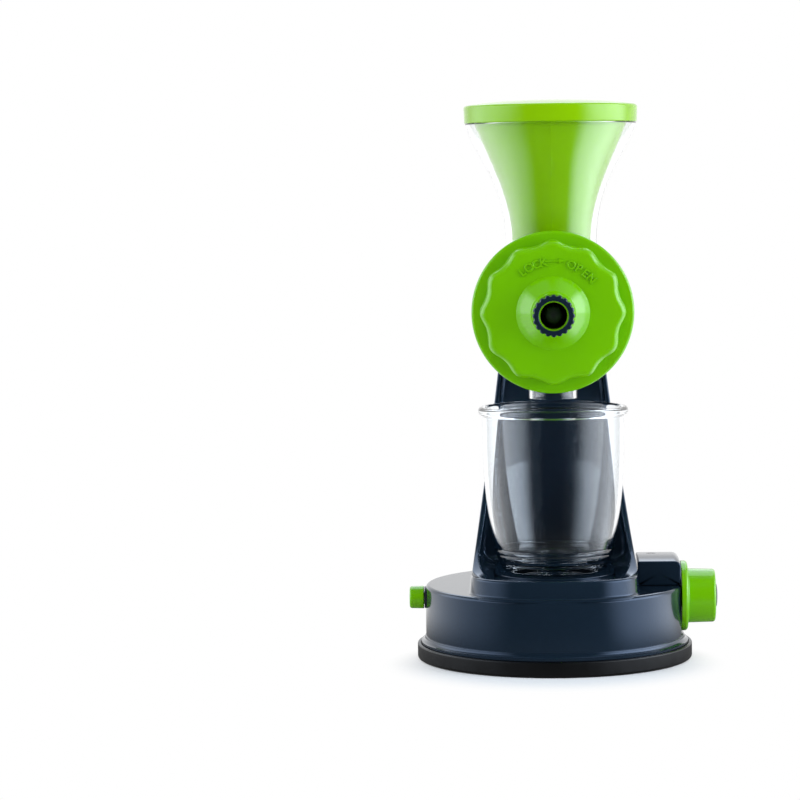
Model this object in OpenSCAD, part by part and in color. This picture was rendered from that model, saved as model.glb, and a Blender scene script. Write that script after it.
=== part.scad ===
/* [Suction base] */
// Radius of the drum
drum_r = 75; // [70:0.5:90]
// Height of the deck above the table
deck_z = 43; // [40:0.5:55]
// Wall thickness of the drum and of its deck
drum_wall = 3; // [2.5:0.1:4]
// Radius of the rounded edge round the deck
deck_edge_r = 1.5; // [1:0.1:4]
// How far the skirt flares out beyond the drum
skirt_flare = 2.8; // [2:0.1:5]
// Height of the upright lip at the foot of the skirt
skirt_lip = 1.3; // [0.8:0.1:2]
// Height of the rubber rim under the skirt
pad_rim_h = 9; // [6:0.5:11]
// Width of the rubber rim where it stands on the table
pad_rim_w = 12; // [9:0.5:14]
// Thickness of the rubber web inside the rim
pad_web = 2.6; // [2:0.1:3.5]
// Height of the hollow under the middle of the rubber pad
pad_dome = 2; // [1:0.1:2.2]

/* [Vacuum lock] */
// Depth of the lock shaft's centre below the deck
shaft_drop = 8; // [7:0.5:10]
// Radius of the lock shaft
shaft_r = 4; // [3:0.1:4.5]
// Radius of the knob's flange
knob_flange_r = 20.4; // [18:0.1:21]
// Thickness of the knob's flange
knob_flange_t = 4; // [3:0.1:6]
// Radius of the knob's grip
knob_r = 15.8; // [13:0.1:17]
// Length of the knob's grip
knob_len = 16; // [12:0.5:24]
// Radius of the dark disc in the knob's end
knob_cap_r = 6.8; // [5.5:0.1:9]
// Radius of the release button at the shaft's other end
button_r = 6.6; // [6:0.1:9]
// Length of the release button
button_len = 8.4; // [6:0.1:14]
// Height by which the turn of the knob lifts the pad's middle
pad_lift = 3; // [1.5:0.1:3.5]
// Angle through which the knob turns
lock_turn = 90; // [60:5:90]
// Least radius of the lifting cam
cam_r = 6; // [5.5:0.1:6.5]
// Thickness of the lifting cam and of the stirrup round it
cam_w = 8; // [6:0.5:12]
// Radius of the stirrup's stem
stem_r = 4.5; // [3.5:0.1:6]
// Radius of the steel plate in the pad's middle
plate_r = 18; // [14:0.5:24]
// Thickness of the steel plate
plate_t = 2; // [1.5:0.1:2.5]

/* [Shaft cover] */
// Width of the cover from front to back
cover_w = 33; // [28:0.5:33.5]
// Height of the cover above the deck
cover_h = 15.8; // [13:0.1:20]
// Radius of the cover's rounded end
cover_edge_r = 4; // [2:0.1:6]

/* [Stand] */
// Height of the glass seat above the deck
seat_h = 10.5; // [8:0.5:16]
// Half of the stand's width at the seat
seat_half_w = 47.7; // [45:0.1:49]
// Wall thickness of the stand
stand_wall = 3; // [2.5:0.1:4]
// Height of the rib that locates the glass
rib_h = 2.5; // [1.5:0.1:4]
// Thickness of the rib that locates the glass
rib_t = 2; // [1.5:0.1:3]
// Angle of the rib's open front
rib_open = 150; // [130:5:180]
// Depth of the hollow column from front to back at its foot
column_depth = 28; // [24:0.5:34]
// Half of the column's width where it meets the collar
column_top_w = 28.2; // [25:0.1:30]
// Radius of the inner corners between the seat and the wings
scoop_r = 5; // [3:0.5:8]
// Radius of the column's upright back corners
corner_r = 14; // [8:0.5:18]

/* [Glass] */
// Distance from the base's centre forward to the glass's centre
glass_reach = 27; // [24:0.5:27]
// Height of the glass
glass_h = 95; // [80:1:120]
// Radius of the glass's rim bead
glass_rim_r = 42.9; // [42:0.1:44]
// Radius of the glass below its rim
glass_body_r = 40.6; // [38:0.1:41]
// Radius of the glass's foot before its rounded heel
glass_foot_r = 30; // [26:0.5:32]
// Wall thickness of the glass
glass_wall = 2.2; // [1.8:0.1:3]
// Thickness of the glass's bottom
glass_floor = 6; // [4:0.5:9]

/* [Barrel and hopper] */
// Outer radius of the clear barrel
barrel_r = 31; // [29:0.5:31.5]
// Wall thickness of the clear moulding
clear_wall = 3; // [2.5:0.1:3.5]
// Distance from the base's centre forward to the barrel's front flange
barrel_front = 50; // [46:0.5:56]
// Distance from the base's centre back to the barrel's closed end
barrel_back = 37.5; // [36:0.5:42]
// Distance from the base's centre forward to the hopper's centre
hopper_reach = 14; // [13:0.5:18]
// Outer radius of the hopper's throat
throat_r = 26; // [25:0.1:27]
// Width of the hopper's rim outside the pusher
hopper_rim_w = 5.4; // [4:0.1:8]
// Height of the hopper's rim above the barrel's centre
hopper_rise = 106.5; // [95:0.5:125]
// Outer radius of the juice spout
spout_r = 14; // [11:0.5:16]
// Length of the juice spout below the barrel
spout_len = 19.2; // [14:0.1:30]
// Gap between the glass's rim and the spout
spout_gap = 4.8; // [2:0.1:10]

/* [Pusher] */
// Gap between the pusher's straight lower end and the hopper's throat
pusher_gap = 1.5; // [1:0.1:4]
// Radius of the pusher's flared top
pusher_top_r = 43.8; // [38:0.1:44]
// Wall thickness of the pusher
pusher_wall = 2.5; // [1.5:0.1:3]
// Height of the pusher's lower end above the barrel's centre
pusher_foot = 37.5; // [36:0.5:44]
// Height of the lid's side wall
lid_h = 10; // [8:0.5:14]
// Height of the lid's dome above its side wall
lid_dome = 3; // [1.5:0.1:5]

/* [Lock ring] */
// Radius of the lock ring's rim
ring_r = 45.7; // [44:0.1:49]
// Height of the scalloped grip above the rim's face
grip_h = 11; // [7:0.5:14]
// Radius over the grip's cusps
cusp_r = 40.4; // [40:0.1:41]
// Radius at the grip's hollows
hollow_r = 38.2; // [38:0.1:39]
// Number of cusps round the grip
cusps = 12; // [8:1:16]
// Radius of the cone where it leaves the grip
cone_r = 20.5; // [18:0.1:24]
// Length of the cone
cone_len = 20; // [16:0.5:26]
// Outer radius of the nozzle
nozzle_r = 8.9; // [8.6:0.1:10]
// Radius of the waste hole
waste_r = 7.4; // [6.8:0.1:7.6]
// Length of the nozzle beyond the cone
nozzle_len = 13.5; // [10:0.5:20]
// Angle through which the ring turns from locked to open
ring_turn = 45; // [40:5:50]
// Radius of the waste nut
nut_r = 11.7; // [11.4:0.1:12.4]
// Number of notches round the waste nut
nut_notches = 20; // [12:1:24]

/* [Auger and strainer] */
// Radial gap between the auger's flight and the strainer
auger_gap = 0.5; // [0.3:0.1:1]
// Wall thickness of the strainer
strainer_wall = 0.7; // [0.5:0.1:1]
// Rows of slots round the strainer's lower half
slot_rows = 9; // [5:2:11]
// Slots in each row
slots_per_row = 6; // [4:1:8]
// Radius of the auger's core at its back end
core_back_r = 9; // [8:0.1:11]
// Radius of the auger's core at the barrel's front
core_front_r = 16; // [13:0.1:18]
// Radius of the auger's rounded tip
auger_tip_r = 5; // [4:0.1:5.5]
// Turns of the flight
flight_turns = 3.5; // [2.5:0.25:4.5]
// Thickness of the flight at its edge
flight_t = 2.6; // [2:0.1:4]

/* [Crank] */
// Radius of the drive shaft
drive_r = 6; // [5.8:0.1:6.5]
// Width across the flats of the drive hexagons
drive_flats = 10; // [9:0.1:10.5]
// Distance between the drive shaft and the grip's pin
crank_len = 100; // [80:1:120]
// Thickness of the crank arm
arm_t = 8; // [6:0.5:12]
// Radius of the arm's hub on the drive shaft
arm_hub_r = 13; // [11:0.5:16]
// Radius of the arm's end round the pin
arm_end_r = 9; // [8:0.5:12]
// Radius of the grip's pin
pin_r = 4; // [3:0.1:4.5]
// Length of the grip
grip_len = 80; // [60:1:100]
// Radius of the grip at its middle
grip_r = 12.5; // [11:0.1:15]

/* [Fits] */
// Radial gap of a running fit
run_gap = 0.05; // [0.02:0.01:0.1]
// Gap between neighbouring pieces that move apart
move_gap = 0.3; // [0.2:0.05:0.4]

/* [Hidden] */
$fn = 96;

green = [0.45, 0.73, 0.03];
slate = [0.2, 0.27, 0.35];
rubber = [0.09, 0.1, 0.12];
nylon = [0.14, 0.15, 0.17];
steel = [0.72, 0.74, 0.76];
clear = [0.85, 0.92, 0.95, 0.4];
over = 1;

// Drum and rubber pad
skirt_r = drum_r + skirt_flare;
skirt_top_z = pad_rim_h + skirt_lip + skirt_flare;
pad_lap = 2.2;
pad_edge = 1;
pad_fillet = 4;
pad_hub_wall = 5;
pad_r = skirt_r + pad_lap;
pad_inner_r = pad_r - pad_rim_w;
pad_hub_r = plate_r + pad_hub_wall;
pad_pocket_z = pad_dome + pad_web;
deck_under_z = deck_z - drum_wall;
drum_bore_r = drum_r - drum_wall;

// Lock shaft, its bushes, its two ends and the cam on it
shaft_z = deck_z - shaft_drop;
knob_flat = 1.8;
button_flat = 0.8;
knob_seat_x = drum_r - knob_flat;
button_seat_x = drum_r - button_flat;
bush_wall = 2;
bush_len = 12;
bush_flange_t = 1.5;
bush_r = shaft_r + bush_wall;
bush_flange_r = bush_r + 0.4;
boss_len = bush_len + 1;
boss_r = bush_r + 1.6;
seat_margin = 1;
knob_x = knob_seat_x + move_gap;
knob_end = knob_flange_t + knob_len;
knob_rim_t = 1.4;
knob_draft = 0.4;
knob_fillet_r = 1.6;
knob_edge_r = 1.5;
knob_recess = bush_flange_t + move_gap;
cap_depth = 2;
cap_side = 2.6;
cap_dome = 0.8;
button_x = button_seat_x + bush_flange_t + move_gap;
button_bevel = 0.6;
button_draft = 0.2;
button_edge_r = 1.2;
button_skin = 2;
shaft_right = knob_x + knob_end - cap_depth - 1;
shaft_left = button_x + button_len - button_skin;
cam_slope = -pad_lift / lock_turn * 180 / PI;
cam_start = 90 - lock_turn;
cam_fall = 260;
cam_ease = 4;

// Stirrup round the cam, and the plate that it draws up
plate_z = pad_pocket_z + move_gap;
bar_z = shaft_z + cam_r + run_gap;
bar_t = 3;
window_room = 1.5;
window_half = cam_r + pad_lift + window_room;
window_z = shaft_z - window_half;
stirrup_half = window_half + bar_t;
stem_foot_r = stem_r - 1;

// Cover over the shaft, its screw and the screw's boss
cover_wall = 2.5;
cover_draft = 1;
cover_side_gap = 1.5;
cover_back_x = seat_half_w + 0.5;
cover_len = knob_seat_x - cover_back_x;
cover_screw_x = knob_seat_x - cover_len * 0.65;
cover_screw_y = cover_w / 4;
cover_boss_r = 4;
cover_head_r = 2.8;
cover_head_t = 1;
cover_screw_len = 8;
cross_w = 0.7;
cross_len = 3.8;

// Stand
glass_y = -glass_reach;
seat_z = deck_z + seat_h;
column_gap = 2.1;
column_front = glass_y + glass_rim_r + column_gap;
column_back = column_front + column_depth;
stand_front = glass_y - seat_half_w;
screw_r = 1.5;
screw_head_r = 3.6;
screw_head_t = 2.4;
screw_play = 0.4;
screw_boss_r = screw_r + 2.5;
screw_grip = seat_h - stand_wall;
screw_x = seat_half_w - stand_wall - screw_r - 1.5;
screw_back_y = column_back - 11;
screw_places = [for (x = [-screw_x, screw_x], y = [glass_y, screw_back_y]) [x, y]];
rib_r = glass_foot_r + 3;

// Barrel, hopper, spout and the collar that holds the barrel
axis_z = seat_z + glass_h + spout_gap + spout_len + barrel_r;
bore_r = barrel_r - clear_wall;
hopper_y = -hopper_reach;
hopper_wall = clear_wall - 1;
hopper_in_r = throat_r - hopper_wall;
hopper_rim_r = pusher_top_r + hopper_rim_w;
rim_z = axis_z + hopper_rise;
throat_z = axis_z + 33.5;
spout_wall = 2;
spout_z = axis_z - barrel_r - spout_len;
spout_top = spout_len + barrel_r / 2;
collar_wall = 3.2;
collar_edge_r = 4;
collar_back_t = 6;
collar_r = barrel_r + run_gap + collar_wall;
collar_front = hopper_y + throat_r + 2;
collar_floor = barrel_back + run_gap;
collar_back = collar_floor + collar_back_t;
boss_back = collar_back + 6;
bearing_wall = 3;
bearing_r = drive_r + bearing_wall;
bearing_flange_t = 1.5;
bearing_flange_r = bearing_r + 2;
bearing_in = collar_floor + 0.5;
boss_foot_r = bearing_r + 5;
seal_r = drive_r + 3.5;

// Barrel's flange, its lugs, and the strainer in the barrel
flange_t = 4;
flange_r = barrel_r + 5;
lug_r = flange_r + 3.5;
lug_t = flange_t - 0.5;
lug_half = 18;
lug_angles = [90, 210, 330];
strainer_r = bore_r - 0.3;
strainer_band = 4;
strainer_back = -(hopper_y + hopper_in_r + strainer_band);
strainer_flange_t = 0.8;
slot_len = 5;
slot_r = 0.8;
slot_turn = 12;
slot_depth = 4;
slot_pitch = (barrel_front - 6) / slots_per_row;

// Lock ring, its gasket and the waste nut, as distances forward of the barrel's rest point
lip_t = 3;
lip_r = flange_r + 0.8;
ring_back = barrel_front - flange_t - move_gap - lip_t;
ring_bore_r = lug_r + 0.5;
ring_edge_r = 1.5;
gasket_t = 1.9;
gasket_s = barrel_front + strainer_flange_t + move_gap;
ring_step = gasket_s + gasket_t;
ring_face = ring_step + 4;
grip_face = ring_face + grip_h;
grip_edge_r = 3;
grip_wall = 3.4;
grip_top_r = cusp_r + 1;
cavity_r = hollow_r - grip_wall;
cavity_face = grip_face - grip_wall;
cusp_turn = 360 / cusps;
hollow_reach = (cusp_r^2 - hollow_r^2) / (2 * (cusp_r * cos(cusp_turn / 2) - hollow_r));
cone_wall = 3.2;
cone_tip_r = nozzle_r + 3.5;
cone_end = grip_face + cone_len;
nozzle_end = cone_end + nozzle_len;
nozzle_edge = 0.7;
nut_back = cone_end + 2.8;
nut_front = nozzle_end + 1.5;
nut_notch_r = 1;
nut_notch_at = nut_r + 0.5;
nut_seal_r = nut_r - 0.8;

// Auger and drive shaft
auger_r = strainer_r - strainer_wall - auger_gap;
auger_back = barrel_back - clear_wall - 1;
auger_disc_r = auger_r - 1;
auger_disc_t = 3;
auger_tip = cone_end + 6;
flight_back = -auger_back + 2;
flight_front = cavity_face - 3;
flight_run = flight_front - flight_back - 2 * flight_t;
flight_root = 2;
flight_easing = 0.25;
steps_per_turn = 24;
flight_steps = flight_turns * steps_per_turn;
hex_r = drive_flats / sqrt(3);
hex_len = 20;
hex_room = 2;

// Crank
arm_y = boss_back + bearing_flange_t + move_gap;
arm_taper = asin((arm_hub_r - arm_end_r) / crank_len);
pin_z = axis_z - crank_len;
thread_r = 3.5;
thread_len = 7;
nut_hex_r = 8;
nut_hex_t = 6;
nut_dome_r = 6.4;
pin_collar_t = 1;
grip_y = arm_y + arm_t + pin_collar_t;
head_drop = 7;
head_t = 2;
head_y = grip_y + grip_len - head_drop;
head_room_r = pin_r + 2.6;
grip_neck = 4;
grip_cap_t = 3;

// Pusher and its lid
lid_z = rim_z + move_gap;
lid_r = hopper_rim_r + 0.6;
lid_wall = 2.5;
lid_edge_r = 2;
lid_top = lid_z + lid_h;
lid_under_z = lid_top - lid_wall;
lid_draft = 0.4;
spigot_r = pusher_top_r - pusher_wall - run_gap;
spigot_wall = 2;
pusher_r = hopper_in_r - pusher_gap;
pusher_z = axis_z + pusher_foot;
pusher_edge = 1.5;

// Glass
glass_belly = 3;
glass_heel = 4;
glass_foot_w = 4;
foot_ring_w = 8;
foot_rise = 0.8;
glass_well_r = glass_foot_r - 9;
bead_r = 0.8;
bead_sink = 0.2;
bead_heights = [10, 13];
rim_bead_r = 2.6;
rim_bead_z = glass_h - rim_bead_r;

function bezier(a, b, c, d, n) = [for (i = [0:n]) let (t = i / n)
    (1 - t)^3 * a + 3 * (1 - t)^2 * t * b + 3 * (1 - t) * t^2 * c + t^3 * d];
function polar(r, a) = [r * cos(a), r * sin(a)];
function arc(centre, r, from, to, n) = [for (i = [0:n]) centre + polar(r, from + (to - from) * i / n)];
function reversed(list) = [for (i = [len(list) - 1:-1:0]) list[i]];
function mirrored(list) = concat(list, [for (p = reversed(list)) [-p.x, p.y]]);
function inset_x(list, d) = [for (p = list) [p.x - sign(p.x) * d, p.y]];

module revolve(outline) {
    rotate_extrude() polygon(outline);
}

// Turns a shape built up +Z so that it points forward from the barrel's centre
module forward() {
    translate([0, 0, axis_z]) rotate([90, 0, 0]) children();
}

// Turns a shape built up +Z so that it points backward from the barrel's centre
module backward(z = axis_z) {
    translate([0, 0, z]) rotate([-90, 0, 0]) children();
}

// Turns a shape built up +Z so that it points to the right along the lock shaft
module rightward() {
    translate([0, 0, shaft_z]) rotate([0, 90, 0]) children();
}

module leftward() {
    translate([0, 0, shaft_z]) rotate([0, -90, 0]) children();
}

module tube(r_out, r_in, h) {
    difference() {
        cylinder(r = r_out, h = h);
        translate([0, 0, -over]) cylinder(r = r_in, h = h + 2 * over);
    }
}

// The rubber pad: a rim that the drum stands on and a thin web domed over a hollow
module suction_pad() {
    color(rubber) revolve(concat(
        [[0, pad_dome], [0, pad_pocket_z]],
        [[plate_r + move_gap, pad_pocket_z], [plate_r + move_gap, pad_pocket_z + plate_t]],
        [[pad_hub_r, pad_pocket_z + plate_t], [pad_hub_r + pad_fillet, pad_pocket_z]],
        [[pad_inner_r - pad_fillet, pad_web + pad_edge], [pad_inner_r, pad_rim_h]],
        [[pad_r - pad_edge, pad_rim_h], [pad_r, pad_rim_h - pad_edge]],
        [[pad_r, pad_edge], [pad_r - pad_edge, 0], [pad_inner_r, 0]],
        reversed(bezier([0, pad_dome], [pad_r / 3, pad_dome], [pad_r / 2, pad_edge / 2],
            [pad_inner_r - pad_fillet, pad_edge / 2], 8))));
}

// The plate and the stirrup that lift the pad's middle
module pad_plate() {
    color(steel) translate([0, 0, plate_z]) tube(plate_r, stem_foot_r + run_gap, plate_t);
}

module stirrup() {
    stem_z = plate_z + plate_t;
    color(steel) {
        translate([0, 0, plate_z]) cylinder(r = stem_foot_r, h = plate_t);
        translate([0, 0, stem_z]) cylinder(r = stem_r, h = window_z - bar_t - stem_z);
        difference() {
            translate([-cam_w / 2, -stirrup_half, window_z - bar_t])
                cube([cam_w, 2 * stirrup_half, bar_z - window_z + 2 * bar_t]);
            translate([-cam_w, -window_half, window_z])
                cube([2 * cam_w, 2 * window_half, bar_z - window_z]);
        }
    }
}

// The cam: an involute whose height under a flat bar rises in step with the turn, a round back,
// and an easy fall on the side that never meets the bar
function cam_height(a) = cam_r + pad_lift * (90 - a) / lock_turn;
cam_rise = [for (i = [0:12]) let (a = cam_start + lock_turn * i / 12)
    polar(cam_height(a), a) + polar(cam_slope, a + 90)];
cam_outline = concat(cam_rise, arc([0, 0], cam_r, 100, cam_fall - 10, 16),
    bezier(polar(cam_r, cam_fall), polar(cam_r, cam_fall) + polar(cam_ease, cam_fall + 90),
        cam_rise[0] + polar(cam_ease / 2, cam_start - 90), cam_rise[0] + polar(0.5, cam_start - 90), 8));
module lift_cam() {
    color(nylon) translate([-cam_w / 2, 0, shaft_z]) rotate([90, 0, 90]) difference() {
        linear_extrude(cam_w) polygon(cam_outline);
        translate([0, 0, -over]) cylinder(r = shaft_r + run_gap, h = cam_w + 2 * over);
    }
}

module lock_shaft() {
    color(steel) leftward() translate([0, 0, -shaft_right])
        cylinder(r = shaft_r, h = shaft_left + shaft_right);
}

module shaft_bush() {
    tube(bush_r, shaft_r + run_gap, bush_len);
    translate([0, 0, bush_len]) tube(bush_flange_r, shaft_r + run_gap, bush_flange_t);
}

module shaft_bushes() {
    color(nylon) {
        rightward() translate([0, 0, knob_seat_x - bush_len]) shaft_bush();
        leftward() translate([0, 0, button_seat_x - bush_len]) shaft_bush();
    }
}

module vacuum_knob() {
    color(green) rightward() translate([0, 0, knob_x]) difference() {
        revolve(concat(
            [[0, 0], [knob_flange_r, 0], [knob_flange_r, knob_rim_t]],
            arc([knob_r + knob_draft + knob_fillet_r, knob_flange_t + knob_fillet_r],
                knob_fillet_r, 270, 180, 5),
            arc([knob_r - knob_draft - knob_edge_r, knob_end - knob_edge_r], knob_edge_r, 0, 90, 5),
            [[0, knob_end]]));
        translate([0, 0, -over]) cylinder(r = bush_flange_r + 0.6, h = knob_recess + over);
        translate([0, 0, -over]) cylinder(r = shaft_r + run_gap, h = knob_end + 2 * over);
        translate([0, 0, knob_end - cap_depth]) cylinder(r = knob_cap_r + run_gap, h = cap_depth + over);
    }
}

module knob_cap() {
    top = cap_side + cap_dome;
    color(nylon) rightward() translate([0, 0, knob_x + knob_end - cap_depth])
        revolve(concat([[0, 0], [knob_cap_r, 0], [knob_cap_r, cap_side]],
            bezier([knob_cap_r - cap_dome / 2, cap_side + cap_dome / 2], [knob_cap_r / 2, top],
                [knob_cap_r / 3, top], [0, top], 5)));
}

module release_button() {
    color(green) leftward() translate([0, 0, button_x]) difference() {
        revolve(concat([[0, 0], [button_r - button_bevel, 0], [button_r, button_bevel]],
            arc([button_r - button_draft - button_edge_r, button_len - button_edge_r],
                button_edge_r, 0, 90, 5),
            [[0, button_len]]));
        translate([0, 0, -over]) cylinder(r = shaft_r + run_gap, h = button_len - button_skin + over);
    }
}

// Screws that come up through the deck into the stand
module column_screws() {
    color(steel) for (p = screw_places) translate([p.x, p.y, deck_under_z]) {
        translate([0, 0, -screw_head_t]) cylinder(r = screw_head_r, h = screw_head_t);
        cylinder(r = screw_r, h = drum_wall + screw_grip - 1);
    }
}

// The drum: an open shell with a flared skirt, seats for the lock shaft and holes in its deck
drum_outline = concat(
    [[0, pad_rim_h], [skirt_r, pad_rim_h], [skirt_r, pad_rim_h + skirt_lip]],
    arc([skirt_r, skirt_top_z], skirt_flare, 270, 180, 6),
    arc([drum_r - deck_edge_r, deck_z - deck_edge_r], deck_edge_r, 0, 90, 6),
    [[0, deck_z]]);
drum_hollow = [[0, pad_rim_h - over], [drum_bore_r, pad_rim_h - over],
    [drum_bore_r, deck_under_z - 1], [drum_bore_r - 1, deck_under_z], [0, deck_under_z]];

module drum_solid() {
    cover_root = deck_edge_r + 1;
    difference() {
        revolve(drum_outline);
        revolve(drum_hollow);
    }
    rightward() translate([0, 0, knob_seat_x - boss_len]) cylinder(r = boss_r, h = boss_len);
    leftward() translate([0, 0, button_seat_x - boss_len]) cylinder(r = boss_r, h = boss_len);
    translate([knob_seat_x - 2 * cover_root, -cover_w / 2, deck_z - cover_root])
        cube([2 * cover_root, cover_w, cover_root]);
    translate([cover_screw_x, cover_screw_y, deck_under_z])
        cylinder(r = cover_boss_r, h = drum_wall + cover_h - cover_wall - 1.5);
}

module base_housing() {
    knob_room = knob_flange_r + seat_margin;
    button_room = bush_flange_r + 2 * seat_margin;
    slot_x = cam_w / 2 + move_gap;
    slot_y = stirrup_half + seat_margin;
    color(slate) difference() {
        drum_solid();
        translate([knob_seat_x, -knob_room, shaft_z - knob_room])
            cube([2 * drum_wall, 2 * knob_room, deck_z]);
        translate([-button_seat_x - 2 * drum_wall, -button_room, shaft_z - button_room])
            cube([2 * drum_wall, 2 * button_room, 2 * button_room]);
        rightward() cylinder(r = bush_r + run_gap, h = drum_r + over);
        leftward() cylinder(r = bush_r + run_gap, h = drum_r + over);
        translate([-slot_x, -slot_y, deck_under_z - over])
            cube([2 * slot_x, 2 * slot_y, drum_wall + 2 * over]);
        for (p = screw_places) translate([p.x, p.y, deck_under_z - over])
            cylinder(r = screw_r + screw_play, h = drum_wall + 2 * over);
        translate([cover_screw_x, cover_screw_y, deck_z]) cylinder(r = screw_r + run_gap, h = cover_h);
    }
}

// The cover over the shaft's end, with one rounded upper edge beside the knob
module cover_block(inset, h) {
    r = cover_edge_r - inset;
    y = cover_w / 2 - inset;
    back = cover_back_x + inset;
    end = knob_seat_x - inset;
    translate([0, y, deck_z]) rotate([90, 0, 0]) linear_extrude(2 * y)
        polygon(concat([[back, 0], [end, 0]], arc([end - r, h - r], r, 0, 90, 6),
            [[back + cover_draft, h], [back, h - cover_draft]]));
}

module shaft_cover() {
    color(slate) difference() {
        cover_block(0, cover_h);
        translate([0, 0, -over]) cover_block(cover_side_gap, cover_h - cover_wall + over);
        translate([cover_screw_x, cover_screw_y, deck_z]) {
            cylinder(r = screw_r + screw_play, h = cover_h + over);
            translate([0, 0, cover_h - cover_head_t])
                cylinder(r = cover_head_r + run_gap, h = cover_head_t + over);
        }
    }
}

module cover_screw() {
    color(steel) translate([cover_screw_x, cover_screw_y, deck_z + cover_h - cover_head_t]) difference() {
        union() {
            cylinder(r = cover_head_r, h = cover_head_t);
            translate([0, 0, -cover_screw_len]) cylinder(r = screw_r, h = cover_screw_len);
        }
        for (a = [0, 90]) rotate([0, 0, a])
            translate([-cross_len / 2, -cross_w / 2, cover_head_t / 3]) cube([cross_len, cross_w, over]);
    }
}

// The stand: its front outline, its side outline and its plan are three profiles, and the
// moulding is what lies within all three, hollowed from below and scooped out at the front
front_outline = mirrored(concat([[seat_half_w + 3, deck_z - over]],
    bezier([seat_half_w + 0.9, seat_z], [seat_half_w - 6.2, seat_z + 34],
        [column_top_w + 5.8, axis_z - 62], [column_top_w, axis_z - 7], 14)));
side_outline = concat(
    [[stand_front - over, deck_z], [stand_front - over, seat_z]],
    bezier([glass_y - 24, seat_z], [glass_y + 12, seat_z], [column_front - 12, seat_z + 34],
        [column_front - 6, seat_z + 96], 14),
    [[collar_front, axis_z - 7]],
    bezier([column_back - 9, axis_z - 7], [column_back - 12, axis_z - 70],
        [column_back, seat_z + 50], [column_back, deck_z], 14));
scoop_half = seat_half_w - stand_wall;
scoop_floor = seat_z - stand_wall;
scoop_outline = mirrored(concat(
    arc([scoop_half - scoop_r, seat_z + scoop_r], scoop_r, 270, 345, 5),
    bezier([scoop_half - 0.5, seat_z + scoop_r + 4], [scoop_half - 6.8, seat_z + 36],
        [column_top_w + 5.8 - stand_wall, axis_z - 62], [column_top_w - stand_wall, axis_z - 6], 14)));
hollow_front = column_front + stand_wall;
hollow_back = column_back - stand_wall;
hollow_top = axis_z - collar_r - stand_wall;
hollow_outline = [[stand_front, deck_z - over], [stand_front, scoop_floor], [hollow_front, scoop_floor],
    [hollow_front, hollow_top], [hollow_back - 13, hollow_top], [hollow_back - 7, axis_z - 80],
    [hollow_back - 1.5, seat_z + 30], [hollow_back, deck_z - over]];

module inset_plan(inset) {
    r = seat_half_w - inset;
    corner = corner_r - inset;
    depth = column_back - inset - glass_y;
    translate([0, glass_y]) {
        circle(r = r);
        translate([-r, 0]) square([2 * r, depth - corner]);
        translate([corner - r, 0]) square([2 * (r - corner), depth]);
        for (x = [corner - r, r - corner]) translate([x, depth - corner]) circle(r = corner);
    }
}

module from_front(y0, y1) {
    translate([0, y1, 0]) rotate([90, 0, 0]) linear_extrude(y1 - y0) children();
}

module from_side(half_w) {
    translate([-half_w, 0, 0]) rotate([90, 0, 90]) linear_extrude(2 * half_w) children();
}

module stand_solid() {
    intersection() {
        from_front(stand_front - over, column_back + over) polygon(front_outline);
        from_side(seat_half_w + 5) polygon(side_outline);
        translate([0, 0, deck_z]) linear_extrude(axis_z) inset_plan(0);
    }
}

module stand_hollow() {
    intersection() {
        from_front(stand_front, column_back) polygon(inset_x(front_outline, stand_wall));
        from_side(seat_half_w) polygon(hollow_outline);
        translate([0, 0, deck_z - over]) linear_extrude(axis_z) inset_plan(stand_wall);
    }
}

module collar() {
    backward() revolve(concat([[0, collar_front], [collar_r - 1, collar_front], [collar_r, collar_front + 1]],
        arc([collar_r - collar_edge_r, collar_back - collar_edge_r], collar_edge_r, 0, 90, 6),
        [[boss_foot_r, collar_back], [boss_foot_r - 2, boss_back], [0, boss_back]]));
}

// The C-shaped rib on the seat that keeps the glass in its place
module glass_rib() {
    translate([0, glass_y, seat_z]) rotate([0, 0, rib_open / 2 - 90])
        rotate_extrude(angle = 360 - rib_open) translate([rib_r, -over]) square([rib_t, rib_h + over]);
}

module stand_column() {
    color(slate) difference() {
        union() {
            difference() {
                stand_solid();
                from_front(stand_front - 2 * over, column_front) polygon(scoop_outline);
                stand_hollow();
            }
            collar();
            glass_rib();
            for (p = screw_places) translate([p.x, p.y, deck_z]) cylinder(r = screw_boss_r, h = seat_h - 1);
        }
        backward() translate([0, 0, -barrel_front])
            cylinder(r = barrel_r + run_gap, h = barrel_front + collar_floor);
        backward() cylinder(r = bearing_r + run_gap, h = boss_back + over);
        for (p = screw_places) translate([p.x, p.y, deck_z - over])
            cylinder(r = screw_r + run_gap, h = screw_grip + over);
    }
}

module bearing_bush() {
    color(nylon) backward() {
        translate([0, 0, bearing_in]) tube(bearing_r, drive_r + run_gap, boss_back - bearing_in);
        translate([0, 0, boss_back]) tube(bearing_flange_r, drive_r + run_gap, bearing_flange_t);
    }
}

// The clear moulding: barrel, flared hopper and juice spout in one piece
hopper_flare = bezier([throat_r, throat_z], [throat_r - 0.5, throat_z + 40],
    [hopper_rim_r - 8.7, rim_z - 24], [hopper_rim_r, rim_z], 18);
module lugs(r_in, r_out, t) {
    for (a = lug_angles) rotate([0, 0, a - lug_half])
        rotate_extrude(angle = 2 * lug_half) translate([r_in, 0]) square([r_out - r_in, t]);
}

module clear_solid() {
    forward() translate([0, 0, -barrel_back]) cylinder(r = barrel_r, h = barrel_back + barrel_front);
    forward() translate([0, 0, barrel_front - flange_t]) {
        cylinder(r = flange_r, h = flange_t);
        lugs(flange_r - over, lug_r, lug_t);
    }
    translate([0, hopper_y, 0])
        revolve(concat([[0, axis_z], [throat_r, axis_z]], hopper_flare, [[0, rim_z]]));
    translate([0, glass_y, spout_z]) cylinder(r = spout_r, h = spout_top);
}

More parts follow.
